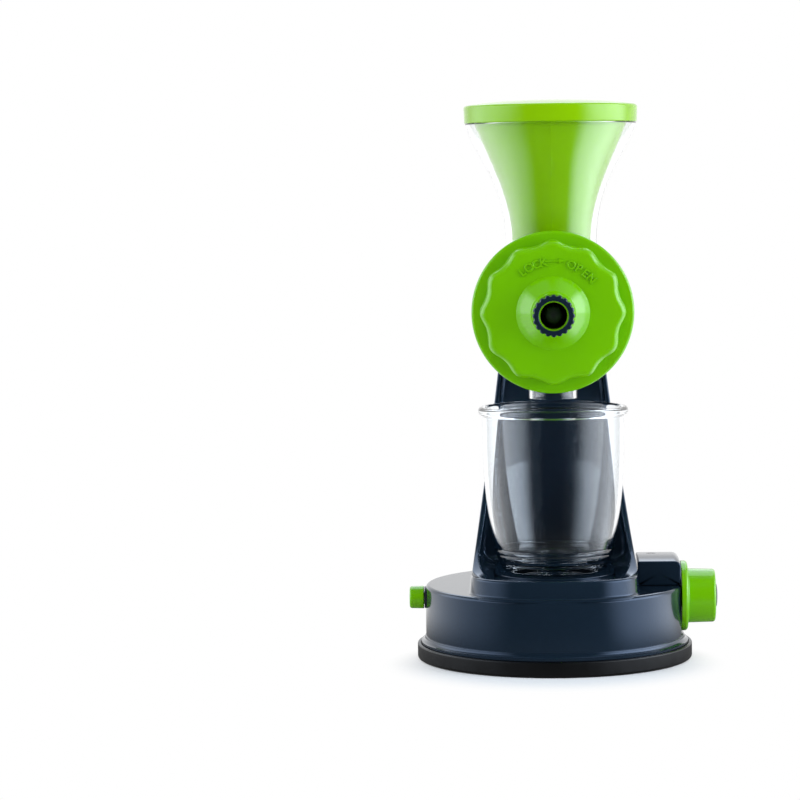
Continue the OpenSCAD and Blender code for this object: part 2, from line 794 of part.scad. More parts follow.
module hopper_barrel() {
    color(clear) difference() {
        clear_solid();
        forward() translate([0, 0, clear_wall - barrel_back])
            cylinder(r = bore_r, h = barrel_back + barrel_front);
        backward() cylinder(r = seal_r + run_gap, h = barrel_back + over);
        translate([0, hopper_y, 0]) revolve(concat(
            [[0, axis_z], [hopper_in_r, axis_z]],
            [for (p = hopper_flare) [p.x - hopper_wall, p.y]],
            [[hopper_rim_r - hopper_wall, rim_z + over], [0, rim_z + over]]));
        translate([0, glass_y, spout_z - over]) cylinder(r = spout_r - spout_wall, h = spout_top + over);
    }
}

module barrel_seal() {
    color(rubber) backward() translate([0, 0, barrel_back - clear_wall])
        tube(seal_r, drive_r + run_gap, clear_wall);
}

// The strainer: a thin sleeve, open under the throat and slotted below
slot_outline = concat(arc([slot_len / 2, 0], slot_r, -90, 90, 4),
    arc([-slot_len / 2, 0], slot_r, 90, 270, 4));
module strainer() {
    color(steel) difference() {
        forward() {
            translate([0, 0, strainer_back])
                tube(strainer_r, strainer_r - strainer_wall, barrel_front - strainer_back);
            translate([0, 0, barrel_front])
                tube(flange_r - 0.5, strainer_r - strainer_wall, strainer_flange_t);
        }
        translate([0, hopper_y, axis_z]) cylinder(r = hopper_in_r, h = 2 * bore_r);
        for (row = [0:slot_rows - 1], i = [0:slots_per_row - 1]) forward()
            rotate([0, 0, 270 + (row - (slot_rows - 1) / 2) * slot_turn])
            translate([strainer_r - slot_depth / 2, 0, slot_pitch * (i + 0.5)])
            rotate([0, 90, 0]) linear_extrude(slot_depth) polygon(slot_outline);
    }
}

// The lock ring: a rim with a skirt, a scalloped grip with a rounded edge, a cone and a nozzle
module grip_plan() {
    difference() {
        circle(r = cusp_r - 0.2);
        for (i = [0:cusps - 1]) rotate([0, 0, 90 + (i + 0.5) * cusp_turn])
            translate([hollow_reach, 0]) circle(r = hollow_reach - hollow_r);
    }
}

module ring_solid() {
    revolve(concat([[0, ring_back], [ring_r - ring_edge_r, ring_back], [ring_r, ring_back + ring_edge_r]],
        arc([ring_r - ring_edge_r, ring_face - ring_edge_r], ring_edge_r, 0, 90, 5), [[0, ring_face]]));
    intersection() {
        translate([0, 0, ring_face - over]) linear_extrude(grip_h + over) grip_plan();
        revolve(concat([[0, ring_face - 2 * over], [grip_top_r, ring_face - 2 * over]],
            arc([grip_top_r - grip_edge_r, grip_face - grip_edge_r], grip_edge_r, 0, 90, 6),
            [[0, grip_face]]));
    }
    revolve(concat([[0, grip_face - over], [cone_r + 0.5, grip_face - over]],
        bezier([cone_r, grip_face], [cone_r - 1.5, grip_face + 3], [cone_tip_r + 2.5, cone_end - 7],
            [cone_tip_r, cone_end], 6),
        [[nozzle_r, cone_end], [nozzle_r, nozzle_end - nozzle_edge], [nozzle_r - nozzle_edge, nozzle_end],
            [0, nozzle_end]]));
}

module lock_ring() {
    color(green) forward() {
        difference() {
            ring_solid();
            revolve([[0, ring_back - over], [ring_bore_r, ring_back - over], [ring_bore_r, ring_step],
                [cavity_r, ring_step], [cavity_r, cavity_face], [cone_r - cone_wall, cavity_face],
                [waste_r, cone_end], [waste_r, nozzle_end + over], [0, nozzle_end + over]]);
        }
        translate([0, 0, ring_back]) lugs(lip_r, ring_bore_r + 0.5, lip_t);
    }
}

module ring_gasket() {
    color(rubber) forward() translate([0, 0, gasket_s]) tube(lug_r, barrel_r, gasket_t);
}

module waste_nut() {
    depth = nozzle_end + move_gap - nut_back;
    color(slate) forward() difference() {
        translate([0, 0, nut_back]) cylinder(r = nut_r, h = nut_front - nut_back);
        translate([0, 0, nut_back - over]) cylinder(r = nozzle_r + move_gap, h = depth + over);
        cylinder(r = nozzle_r - nozzle_edge, h = nut_front + over);
        for (i = [0:nut_notches - 1]) rotate([0, 0, (i + 0.5) * 360 / nut_notches])
            translate([nut_notch_at, 0, nut_back - over])
            cylinder(r = nut_notch_r, h = nut_front - nut_back + 2 * over);
    }
}

module nut_seal() {
    color(rubber) forward() translate([0, 0, cone_end + move_gap])
        tube(nut_seal_r, nozzle_r + move_gap, nut_back - cone_end - move_gap);
}

// The auger: a core that swells towards the front and ends in a rounded tip, with one flight
// wound left-handed round it, so that the crank turned clockwise from behind drives food forward;
// the flight's pitch tightens forward
function flight_s(u) = flight_back + flight_t + flight_run * (u + flight_easing * u * (1 - u));
function core_at(s) = core_back_r
    + (core_front_r - core_back_r) * (s + auger_back) / (barrel_front + auger_back);
function flight_ring(u, a) = let (s = flight_s(u), root = min(core_at(s), core_front_r - 1) - flight_root)
    [for (q = [[auger_r, -flight_t / 2], [auger_r, flight_t / 2], [root, flight_t], [root, -flight_t]])
        [q.x * cos(a), q.x * sin(a), s + q.y]];
module flight() {
    rings = [for (i = [0:flight_steps]) flight_ring(i / flight_steps, -i * 360 / steps_per_turn)];
    points = [for (ring = rings, p = ring) p];
    last = 4 * flight_steps;
    sides = [for (i = [0:flight_steps - 1], k = [0:3]) let (a = 4 * i + k, b = 4 * i + (k + 1) % 4)
        each [[a, a + 4, b + 4], [a, b + 4, b]]];
    polyhedron(points, concat([[0, 1, 2, 3]], sides, [[last + 3, last + 2, last + 1, last]]));
}

module auger() {
    color(nylon) forward() difference() {
        union() {
            revolve(concat([[0, -auger_back], [auger_disc_r, -auger_back],
                    [auger_disc_r, auger_disc_t - auger_back], [core_back_r, auger_disc_t + 1 - auger_back],
                    [core_front_r, barrel_front], [cone_r - 7, cavity_face],
                    [auger_tip_r, auger_tip - auger_tip_r]],
                arc([0, auger_tip - auger_tip_r], auger_tip_r, 15, 90, 5)));
            flight();
        }
        translate([0, 0, -auger_back - over])
            cylinder(r = hex_r + run_gap, h = hex_len + hex_room + over, $fn = 6);
    }
}

module drive_shaft() {
    color(steel) backward() {
        translate([0, 0, auger_back - hex_len]) cylinder(r = hex_r, h = hex_len, $fn = 6);
        translate([0, 0, auger_back]) cylinder(r = drive_r, h = arm_y - auger_back);
        translate([0, 0, arm_y]) cylinder(r = hex_r, h = arm_t, $fn = 6);
        translate([0, 0, arm_y + arm_t]) cylinder(r = thread_r, h = thread_len);
    }
}

// The crank arm: two round ends joined by their common tangents
module arm_plan() {
    far = [0, crank_len];
    circle(r = arm_hub_r);
    translate(far) circle(r = arm_end_r);
    polygon([polar(arm_hub_r, arm_taper), far + polar(arm_end_r, arm_taper),
        far + polar(arm_end_r, 180 - arm_taper), polar(arm_hub_r, 180 - arm_taper)]);
}

module crank_arm() {
    color(slate) backward() translate([0, 0, arm_y]) difference() {
        linear_extrude(arm_t) arm_plan();
        translate([0, 0, -over]) cylinder(r = hex_r + run_gap, h = arm_t + 2 * over, $fn = 6);
        translate([0, crank_len, -over]) cylinder(r = pin_r + run_gap, h = arm_t + 2 * over);
    }
}

module crank_nut() {
    color(steel) backward() translate([0, 0, arm_y + arm_t]) difference() {
        union() {
            cylinder(r = nut_hex_r, h = nut_hex_t, $fn = 6);
            translate([0, 0, nut_hex_t])
                revolve(concat([[0, -over], [nut_dome_r, -over]], arc([0, 0], nut_dome_r, 0, 90, 8)));
        }
        translate([0, 0, -over]) cylinder(r = thread_r + run_gap, h = thread_len + 1 + over);
    }
}

module grip_pin() {
    color(steel) backward(pin_z) {
        translate([0, 0, arm_y]) cylinder(r = pin_r, h = head_y - arm_y);
        translate([0, 0, head_y]) cylinder(r = pin_r + 2, h = head_t);
        translate([0, 0, arm_y + arm_t]) cylinder(r = pin_r + 2.5, h = pin_collar_t - move_gap);
    }
}

module crank_grip() {
    color(green) backward(pin_z) translate([0, 0, grip_y]) difference() {
        revolve(concat([[0, 0], [grip_r - grip_neck, 0]],
            bezier([grip_r - grip_neck + 1, 1], [grip_r + 2, grip_len * 0.3], [grip_r + 1, grip_len * 0.7],
                [grip_r - 2.5, grip_len - 1], 12),
            [[grip_r - 3.5, grip_len], [0, grip_len]]));
        translate([0, 0, -over]) cylinder(r = pin_r + 2 * run_gap, h = grip_len);
        translate([0, 0, grip_len - head_drop - move_gap])
            cylinder(r = head_room_r, h = head_drop + move_gap + over);
    }
}

module grip_cap() {
    r = head_room_r - run_gap;
    color(slate) backward(pin_z) translate([0, 0, grip_y + grip_len - grip_cap_t])
        revolve(concat([[0, 0], [r, 0], [r, grip_cap_t + 0.3]],
            bezier([r - 0.6, grip_cap_t + 0.8], [pin_r, grip_cap_t + 1.2], [pin_r / 2, grip_cap_t + 1.3],
                [0, grip_cap_t + 1.3], 5)));
}

// The pusher: a flared hollow plunger closed by its lid, hanging in the hopper by the lid
pusher_flare = bezier([pusher_r, pusher_z + pusher_edge], [pusher_r, pusher_z + 24],
    [pusher_top_r - 10.8, lid_z - 25.5], [pusher_top_r, lid_z], 16);
module pusher() {
    outer = concat(pusher_flare, [[pusher_top_r, lid_under_z]]);
    inner = [for (p = outer) [p.x - pusher_wall, max(p.y, pusher_z + pusher_wall)]];
    color(green) translate([0, hopper_y, 0])
        revolve(concat([[0, pusher_z], [pusher_r - pusher_edge, pusher_z]], outer, reversed(inner),
            [[0, pusher_z + pusher_wall]]));
}

module pusher_lid() {
    spigot_z = lid_under_z - lid_h / 2;
    color(green) translate([0, hopper_y, 0])
        revolve(concat([[0, lid_under_z + lid_dome]],
            [[spigot_r - spigot_wall, lid_under_z], [spigot_r - spigot_wall, spigot_z]],
            [[spigot_r, spigot_z], [spigot_r, lid_under_z], [lid_r - lid_wall, lid_under_z]],
            [[lid_r - lid_wall, lid_z], [lid_r - lid_draft, lid_z]],
            arc([lid_r - lid_edge_r, lid_top - lid_edge_r], lid_edge_r, 0, 70, 5),
            bezier([lid_r - lid_edge_r - 1, lid_top + 0.3], [lid_r * 0.66, lid_top + lid_dome * 0.8],
                [lid_r * 0.33, lid_top + lid_dome], [0, lid_top + lid_dome], 8)));
}

// The glass: a bellied wall on a heavy foot, two thin beads low down and a rounded rim
function glass_r(h) = glass_foot_r + (glass_body_r - glass_foot_r) * (1 - (1 - h / glass_h)^glass_belly);
function glass_side(from, to, n) = [for (i = [0:n]) let (h = from + (to - from) * i / n) [glass_r(h), h]];
module glass_tumbler() {
    foot_in_r = glass_foot_r - foot_ring_w;
    foot_out_r = glass_foot_r - glass_foot_w;
    color(clear) translate([0, glass_y, seat_z]) difference() {
        union() {
            revolve(concat([[0, foot_rise], [foot_in_r - 1, foot_rise], [foot_in_r, 0], [foot_out_r, 0]],
                bezier([foot_out_r, 0], [glass_foot_r - 1, 0], [glass_foot_r, glass_heel / 2],
                    [glass_r(glass_heel), glass_heel], 4),
                glass_side(glass_heel + 2, rim_bead_z, 16),
                [[0, rim_bead_z]]));
            for (h = bead_heights) translate([0, 0, h])
                rotate_extrude() translate([glass_r(h) - bead_sink, 0]) circle(r = bead_r);
            translate([0, 0, rim_bead_z])
                rotate_extrude() translate([glass_rim_r - rim_bead_r, 0]) circle(r = rim_bead_r);
        }
        revolve(concat([[0, glass_floor]],
            bezier([glass_well_r, glass_floor], [glass_well_r + 5, glass_floor],
                [glass_r(glass_floor + 4) - glass_wall - 0.6, glass_floor + 1],
                [glass_r(glass_floor + 6) - glass_wall, glass_floor + 6], 5),
            [for (p = glass_side(glass_floor + 9, rim_bead_z, 14)) [p.x - glass_wall, p.y]],
            [[glass_rim_r - rim_bead_r, glass_h + over], [0, glass_h + over]]));
    }
}

suction_pad();
base_housing();
stand_column();
column_screws();
shaft_cover();
cover_screw();
shaft_bushes();
hopper_barrel();
barrel_seal();
strainer();
bearing_bush();
lock_ring();
ring_gasket();
waste_nut();
nut_seal();
auger();
drive_shaft();
crank_arm();
crank_nut();
grip_pin();
crank_grip();
grip_cap();
pusher();
pusher_lid();
glass_tumbler();
vacuum_knob();
knob_cap();
lock_shaft();
lift_cam();
release_button();
stirrup();
pad_plate();
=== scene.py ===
"""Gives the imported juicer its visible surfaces, finishes, studio light and camera."""

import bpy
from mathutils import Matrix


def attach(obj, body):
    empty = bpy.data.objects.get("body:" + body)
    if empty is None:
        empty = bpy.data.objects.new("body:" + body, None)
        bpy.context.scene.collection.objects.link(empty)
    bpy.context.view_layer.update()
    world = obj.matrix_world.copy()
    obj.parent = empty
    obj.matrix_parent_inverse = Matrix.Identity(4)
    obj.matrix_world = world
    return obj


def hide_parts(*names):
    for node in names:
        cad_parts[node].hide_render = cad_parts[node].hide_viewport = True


bl_info = {
    "name": "Manual juicer surfaces",
    "version": (1, 0, 0),
    "blender": (4, 5, 0),
    "location": "View3D > Sidebar > Juicer",
    "description": "Builds the surfaces, finishes, light and camera of a hand-cranked juicer",
    "category": "Object",
}

import bmesh
import bpy
import numpy as np
from bpy.props import FloatProperty, FloatVectorProperty, IntProperty, PointerProperty
from bpy.types import Operator, Panel, PropertyGroup
from mathutils import Euler, Vector

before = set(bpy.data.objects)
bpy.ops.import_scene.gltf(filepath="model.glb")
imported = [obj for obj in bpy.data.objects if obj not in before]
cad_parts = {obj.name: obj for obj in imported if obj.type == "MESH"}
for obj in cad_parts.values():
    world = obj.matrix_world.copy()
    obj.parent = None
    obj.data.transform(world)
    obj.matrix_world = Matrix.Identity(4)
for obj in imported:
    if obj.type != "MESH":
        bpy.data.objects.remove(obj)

MM = 0.001

# Where a shape's own x, y and height go: each row is one of them as a direction of the juicer.
UP = np.eye(3)
FORWARD = np.array([[1.0, 0, 0], [0, 0, 1], [0, -1, 0]])
BACKWARD = np.array([[1.0, 0, 0], [0, 0, 1], [0, 1, 0]])
RIGHTWARD = np.array([[0, 1.0, 0], [0, 0, 1], [1, 0, 0]])
LEFTWARD = np.array([[0, 1.0, 0], [0, 0, 1], [-1, 0, 0]])

BASE = (0, 0, 0)
SHAFT = (0, 0, 35)
SEAT = (0, -27, 53.5)
BARREL = (0, 0, 203.5)
HOPPER = (0, -14, 203.5)
PIN = (0, 0, 103.5)
DECK = 43.0
COLUMN_TOP = BARREL[2] - 7
RING_FACE = 68.0
# The seat's rounded bow in front: half-width, where it starts, how far it reaches, and the power
# that makes it squarer than a circle.
BOW_HALF, BOW_START, BOW_REACH, BOW_POWER = 47.4, -41.5, 31, 2.4


def linear(code):
    """Turns an sRGB hex colour into linear red, green, blue and alpha."""
    srgb = np.array([int(code[i:i + 2], 16) for i in (1, 3, 5)]) / 255
    light = np.where(srgb <= 0.04045, srgb / 12.92, ((srgb + 0.055) / 1.055) ** 2.4)
    return (*light.tolist(), 1.0)


# ---- Sizes and colours ----

def length(name, description, default):
    """A size in millimetres, kept in metres as Blender's lengths are."""
    return FloatProperty(name=name, description=description, default=default * MM,
                         unit='LENGTH', subtype='DISTANCE', precision=5)


def colour(name, description, code):
    return FloatVectorProperty(name=name, description=description, default=linear(code),
                               size=4, subtype='COLOR', min=0.0, max=1.0)


def brightness(name, description, default):
    return FloatProperty(name=name, description=description, default=default, min=0.0, max=10.0)


class JuicerColours(PropertyGroup):
    slate: colour("Slate", "Dark blue-grey of the base, the stand and the crank arm", "#16232F")
    green: colour("Lime", "Green of the ring, the knob and the grip", "#74BE00")
    lid_green: colour("Lid green", "Yellower green of the lid and the pusher", "#8CC400")
    rubber: colour("Rubber", "Near-black of the suction pad and the seals", "#08090B")
    nylon: colour("Nylon", "Dark grey of the bushes, the cam and the auger", "#24262A")
    steel: colour("Steel", "Grey of the strainer, the shafts and the screws", "#B9BBBD")
    clear: colour("Clear plastic", "Faint tint of the hopper and the barrel", "#FBFDFD")
    glass: colour("Glass", "Faint tint of the tumbler", "#F7FAFC")


class JuicerSizes(PropertyGroup):
    deck_edge: length("Deck edge", "Radius of the rounded edge round the drum's deck", 2.2)
    wing_edge: length("Wing edge", "Radius of the rounded front edges of the stand's wings", 1.3)
    seat_lip: length("Seat lip", "Radius of the rounded edge round the glass's seat", 1.6)
    pad_edge: length("Pad edge", "Radius of the rubber rim's lower edge", 1.6)
    cover_edge: length("Cover edge", "Radius of the cover's small edges", 1.1)
    letter_height: length("Letter height", "Height of the raised letters on the ring", 4.7)
    letter_rise: length("Letter rise", "How far the letters stand above the ring's face", 0.7)
    wave: length("Wave", "Height of the waves round the ring's grip", 2.4)
    cusps: IntProperty(name="Cusps", description="Number of cusps round the ring's grip",
                       default=12, min=6, max=24)
    notches: IntProperty(name="Notches", description="Number of notches round the waste nut",
                         default=20, min=8, max=32)


class JuicerStudio(PropertyGroup):
    fill: brightness("Fill light", "Level of the soft light from all round", 0.4)
    right_box: brightness("Right softbox", "Brightness of the softbox on the right", 5.0)
    left_box: brightness("Left softbox", "Brightness of the softbox on the left", 3.0)
    top_box: brightness("Top softbox", "Brightness of the softbox overhead", 1.5)
    lamp: colour("Lamps", "Cool white of the softboxes", "#E6F1FF")


# ---- Surfaces ----

def corner_arcs(corners, steps=6):
    """Rounds the corners of an open line of (x, y, radius): each corner becomes an arc that leaves
    the line one tangent's length before it, turns by the line's own turn, and rejoins it as far
    after; a tangent is at most half of the shorter side. Each corner gives steps + 1 points."""
    corners = np.asarray(corners, float)
    points, radius = corners[:, :2], corners[:, 2].copy()
    radius[[0, -1]] = 0
    before = points - np.roll(points, 1, axis=0)
    after = np.roll(points, -1, axis=0) - points
    size_before = np.hypot(*before.T) + 1e-9
    size_after = np.hypot(*after.T) + 1e-9
    before, after = before / size_before[:, None], after / size_after[:, None]
    cross = before[:, 0] * after[:, 1] - before[:, 1] * after[:, 0]
    turn = np.arctan2(cross, (before * after).sum(1))
    slope = np.maximum(np.abs(np.tan(turn / 2)), 1e-6)
    reach = np.minimum(radius * slope, 0.49 * np.minimum(size_before, size_after))
    reach = np.where(radius > 0, reach, 0)
    side = np.sign(turn)[:, None] * np.stack([-before[:, 1], before[:, 0]], axis=1)
    start = points - before * reach[:, None]
    centre = start + side * (reach / slope)[:, None]
    spoke = start - centre
    angle = turn[:, None] * np.linspace(0, 1, steps + 1)
    cos, sin = np.cos(angle), np.sin(angle)
    x = centre[:, :1] + cos * spoke[:, :1] - sin * spoke[:, 1:]
    y = centre[:, 1:] + sin * spoke[:, :1] + cos * spoke[:, 1:]
    return np.stack([x, y], axis=-1).reshape(-1, 2)


def rounded(corners, steps=6):
    """The line with its corners rounded, each point once."""
    line = corner_arcs(corners, steps)
    fresh = np.hypot(*np.diff(line, axis=0, prepend=line[:1] - 1).T) > 1e-4
    return line[fresh]


def bezier(a, b, c, d, steps=16):
    """A cubic curve from a to d that sets out towards b and arrives from c."""
    t = np.linspace(0, 1, steps + 1)[:, None]
    a, b, c, d = (np.asarray(p, float) for p in (a, b, c, d))
    return (1 - t) ** 3 * a + 3 * (1 - t) ** 2 * t * b + 3 * (1 - t) * t ** 2 * c + t ** 3 * d


def swept(radius, height, angle, axes=UP, centre=BASE):
    """Carries a profile round an axis: a point at radius r and height h goes to r cos a, r sin a and
    h on the shape's axes. Radius and height may differ from angle to angle."""
    radius, height = np.broadcast_arrays(radius, height, angle * np.ones_like(radius))[:2]
    own = np.stack([radius * np.cos(angle), radius * np.sin(angle), height], axis=-1)
    return own @ axes + np.asarray(centre, float)


def turned(profile, axes=UP, centre=BASE, around=192):
    """A turned shape: a profile of (radius, height) carried once round its axis."""
    angle = np.linspace(0, 2 * np.pi, around + 1)[None, :]
    return swept(profile[:, :1], profile[:, 1:], angle, axes, centre)


def inset(outline, distance):
    """Moves a closed outline inward by a distance along its normals, which are square to the line
    between each point's two neighbours."""
    ahead = np.roll(outline, -1, axis=0) - np.roll(outline, 1, axis=0)
    normal = np.stack([ahead[:, 1], -ahead[:, 0]], axis=1) / (np.hypot(*ahead.T)[:, None] + 1e-12)
    (x, y), (next_x, next_y) = outline.T, np.roll(outline, -1, axis=0).T
    area = np.sum(x * next_y - next_x * y)
    return outline - np.sign(area) * distance * normal


def stacked(outline, levels, axes=UP, centre=BASE):
    """A closed outline carried up its axis through levels of (inset, height), with each end closed
    on the outline's middle."""
    rings = [np.column_stack([inset(outline, d), np.full(len(outline), h)]) for d, h in levels]
    ends = [np.column_stack([np.tile(r[:, :2].mean(0), (len(r), 1)), r[:, 2]])
            for r in (rings[0], rings[-1])]
    own = np.stack([ends[0], *rings, ends[1]])
    own = np.concatenate([own, own[:, :1]], axis=1)
    return own @ axes + np.asarray(centre, float)


def edge_levels(low, high, radius, steps=5):
    """Levels for stacked(): a wall from low to high whose two edges are quarter circles."""
    a = np.linspace(0, np.pi / 2, steps + 1)
    foot = np.column_stack([radius * (1 - np.sin(a)), low + radius * (1 - np.cos(a))])
    head = np.column_stack([radius * (1 - np.cos(a)), high - radius * (1 - np.sin(a))])
    return np.vstack([foot, head])


def grid_faces(rows, columns, first):
    """Four-sided faces of a grid: each point with its neighbours in the next row and column."""
    index = first + np.arange(rows * columns).reshape(rows, columns)
    corners = [index[:-1, :-1], index[:-1, 1:], index[1:, 1:], index[1:, :-1]]
    return np.stack(corners, axis=-1).reshape(-1, 4)


def close_up(mesh):
    """Merges the points of a mesh that lie on each other, so that seams and poles close, turns its
    faces outward and shades it smooth except over sharp edges."""
    work = bmesh.new()
    work.from_mesh(mesh)
    bmesh.ops.remove_doubles(work, verts=work.verts, dist=2e-6)
    bmesh.ops.dissolve_degenerate(work, edges=work.edges, dist=1e-6)
    bmesh.ops.recalc_face_normals(work, faces=work.faces)
    work.to_mesh(mesh)
    work.free()
    mesh.shade_smooth()
    mesh.set_sharp_from_angle(angle=np.radians(38))


def finished_piece(name, points, faces, kind, body, nodes=()):
    """Makes points in millimetres and their faces a closed piece with its finish, slot and body, and
    lets it stand for the CAD nodes."""
    mesh = bpy.data.meshes.new(name)
    mesh.from_pydata((points * MM).tolist(), [], faces)
    close_up(mesh)
    mesh.materials.append(finish(kind))
    piece = bpy.data.objects.new(name, mesh)
    bpy.context.scene.collection.objects.link(piece)
    even = piece.modifiers.new("Even faces", 'WEIGHTED_NORMAL')
    even.keep_sharp = True
    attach(piece, body)
    if nodes:
        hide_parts(*nodes)


def surface_piece(name, grids, kind, body, *nodes):
    """Makes one piece of grids of points in millimetres, each given as rows of columns."""
    points = np.concatenate([g.reshape(-1, 3) for g in grids])
    firsts = np.cumsum([0] + [g.shape[0] * g.shape[1] for g in grids[:-1]])
    faces = np.concatenate([grid_faces(*g.shape[:2], f) for g, f in zip(grids, firsts)])
    finished_piece(name, points, faces.tolist(), kind, body, nodes)


# ---- Finishes ----

def add_node(tree, kind, settings=(), inputs=()):
    """Adds a shader node with its settings, and sets or links its inputs. A node given as an input
    is linked by the first output that its settings leave in use."""
    node = tree.nodes.new("ShaderNode" + kind)
    for key, value in dict(settings).items():
        setattr(node, key, value)
    for key, value in dict(inputs).items():
        if isinstance(value, bpy.types.Node):
            value = next(output for output in value.outputs if output.enabled)
        if isinstance(value, bpy.types.NodeSocket):
            tree.links.new(value, node.inputs[key])
        else:
            node.inputs[key].default_value = value
    return node


def per_mm(size):
    """The scale of a pattern whose features are this many millimetres across."""
    return 1 / (size * MM)


def shade_of(colour, factor):
    """A darker or lighter shade of a colour."""
    return tuple(min(c * factor, 1.0) for c in colour[:3]) + (1.0,)


def material_of(name, maker, *values):
    """A material whose surface the maker builds, given the tree, the place on the object and the
    maker's own values."""
    material = bpy.data.materials.new(name)
    material.use_nodes = True
    tree = material.node_tree
    tree.nodes.clear()
    place = add_node(tree, "TexCoord").outputs["Object"]
    add_node(tree, "OutputMaterial", {}, {"Surface": maker(tree, place, *values)})
    return material


def moulded_abs(tree, place, colour, polish, sheen=(1.0, 1.0, 1.0, 1.0)):
    """ABS moulded in a polished steel mould: deep gloss, with the faint flow clouds and the long
    shallow ripple that moulding leaves, and finest handling marks in the gloss."""
    flow = add_node(tree, "TexNoise", {}, {
        "Vector": place, "Scale": per_mm(38), "Detail": 3.0, "Roughness": 0.5})
    marks = add_node(tree, "TexNoise", {}, {
        "Vector": place, "Scale": per_mm(2.4), "Detail": 4.0, "Roughness": 0.65})
    ripple = add_node(tree, "TexNoise", {}, {"Vector": place, "Scale": per_mm(6), "Detail": 1.0})
    base = add_node(tree, "Mix", {"data_type": 'RGBA'}, {
        0: flow, 6: shade_of(colour, 0.93), 7: shade_of(colour, 1.05)})
    gloss = add_node(tree, "MapRange", {}, {
        "Value": marks, "From Min": 0.35, "From Max": 0.75,
        "To Min": polish, "To Max": polish + 0.07})
    relief = add_node(tree, "Bump", {}, {"Height": ripple, "Strength": 0.06, "Distance": 0.00008})
    return add_node(tree, "BsdfPrincipled", {}, {
        "Base Color": base, "Roughness": gloss, "Normal": relief,
        "IOR": 1.54, "Specular Tint": sheen})


def clear_moulding(tree, place, colour, ior, ripple_mm, ripple_depth):
    """A clear pressed or moulded wall: light passes and bends, and faint ripple of its mould makes
    the reflections waver. Shadow rays and soft light go straight through, so that its shadow is
    light and what stands behind it is lit."""
    ripple = add_node(tree, "TexNoise", {}, {
        "Vector": place, "Scale": per_mm(ripple_mm), "Detail": 1.0})
    haze = add_node(tree, "TexNoise", {}, {"Vector": place, "Scale": per_mm(3.0), "Detail": 3.0})
    relief = add_node(tree, "Bump", {}, {
        "Height": ripple, "Strength": 0.2, "Distance": ripple_depth})
    gloss = add_node(tree, "MapRange", {}, {
        "Value": haze, "From Min": 0.4, "From Max": 0.8, "To Min": 0.0, "To Max": 0.04})
    shader = add_node(tree, "BsdfPrincipled", {}, {
        "Base Color": colour, "Roughness": gloss, "Normal": relief,
        "IOR": ior, "Transmission Weight": 1.0})
    through = add_node(tree, "BsdfTransparent", {}, {"Color": colour})
    path = add_node(tree, "LightPath").outputs
    lit = add_node(tree, "Math", {"operation": 'MAXIMUM'}, {
        0: path["Is Shadow Ray"], 1: path["Is Diffuse Ray"]})
    return add_node(tree, "MixShader", {}, {0: lit, 1: shader, 2: through})


def moulded_rubber(tree, place, colour):
    """Nitrile rubber from a blasted mould: a dry, even sheen broken by a fine grain and by lighter
    dust where hands and the table have touched it."""
    dust = add_node(tree, "TexNoise", {}, {
        "Vector": place, "Scale": per_mm(14), "Detail": 5.0, "Roughness": 0.7})
    grain = add_node(tree, "TexNoise", {}, {"Vector": place, "Scale": per_mm(0.8), "Detail": 2.0})
    shade = add_node(tree, "MapRange", {}, {"Value": dust, "From Min": 0.45, "From Max": 0.85})
    base = add_node(tree, "Mix", {"data_type": 'RGBA'}, {
        0: shade, 6: colour, 7: shade_of(colour, 1.6)})
    gloss = add_node(tree, "MapRange", {}, {
        "Value": dust, "From Min": 0.3, "From Max": 0.8, "To Min": 0.3, "To Max": 0.46})
    relief = add_node(tree, "Bump", {}, {"Height": grain, "Strength": 0.2, "Distance": 0.00005})
    return add_node(tree, "BsdfPrincipled", {}, {
        "Base Color": base, "Roughness": gloss, "Normal": relief, "IOR": 1.4})


def satin_nylon(tree, place, colour):
    """Glass-filled nylon: a satin skin with short pale fibres just under it."""
    fibre = add_node(tree, "TexNoise", {}, {
        "Vector": place, "Scale": per_mm(1.2), "Detail": 5.0, "Roughness": 0.75})
    base = add_node(tree, "Mix", {"data_type": 'RGBA'}, {
        0: fibre, 6: colour, 7: shade_of(colour, 1.5)})
    gloss = add_node(tree, "MapRange", {}, {"Value": fibre, "To Min": 0.28, "To Max": 0.45})
    relief = add_node(tree, "Bump", {}, {"Height": fibre, "Strength": 0.15, "Distance": 0.00005})
    return add_node(tree, "BsdfPrincipled", {}, {
        "Base Color": base, "Roughness": gloss, "Normal": relief, "IOR": 1.53})


def brushed_steel(tree, place, colour, along):
    """Stainless steel brushed one way: fine bright and dull lines, drawn 0.5 mm apart, coarser than
    real ones, so that they show; along says how much they stretch on each axis."""
    drawn = add_node(tree, "Mapping", {}, {"Vector": place, "Scale": along})
    lines = add_node(tree, "TexNoise", {}, {"Vector": drawn, "Scale": per_mm(0.5), "Detail": 3.0})
    base = add_node(tree, "Mix", {"data_type": 'RGBA'}, {
        0: lines, 6: shade_of(colour, 0.8), 7: colour})
    gloss = add_node(tree, "MapRange", {}, {"Value": lines, "To Min": 0.2, "To Max": 0.38})
    relief = add_node(tree, "Bump", {}, {"Height": lines, "Strength": 0.1, "Distance": 0.00002})
    return add_node(tree, "BsdfPrincipled", {}, {
        "Base Color": base, "Roughness": gloss, "Normal": relief, "Metallic": 1.0})


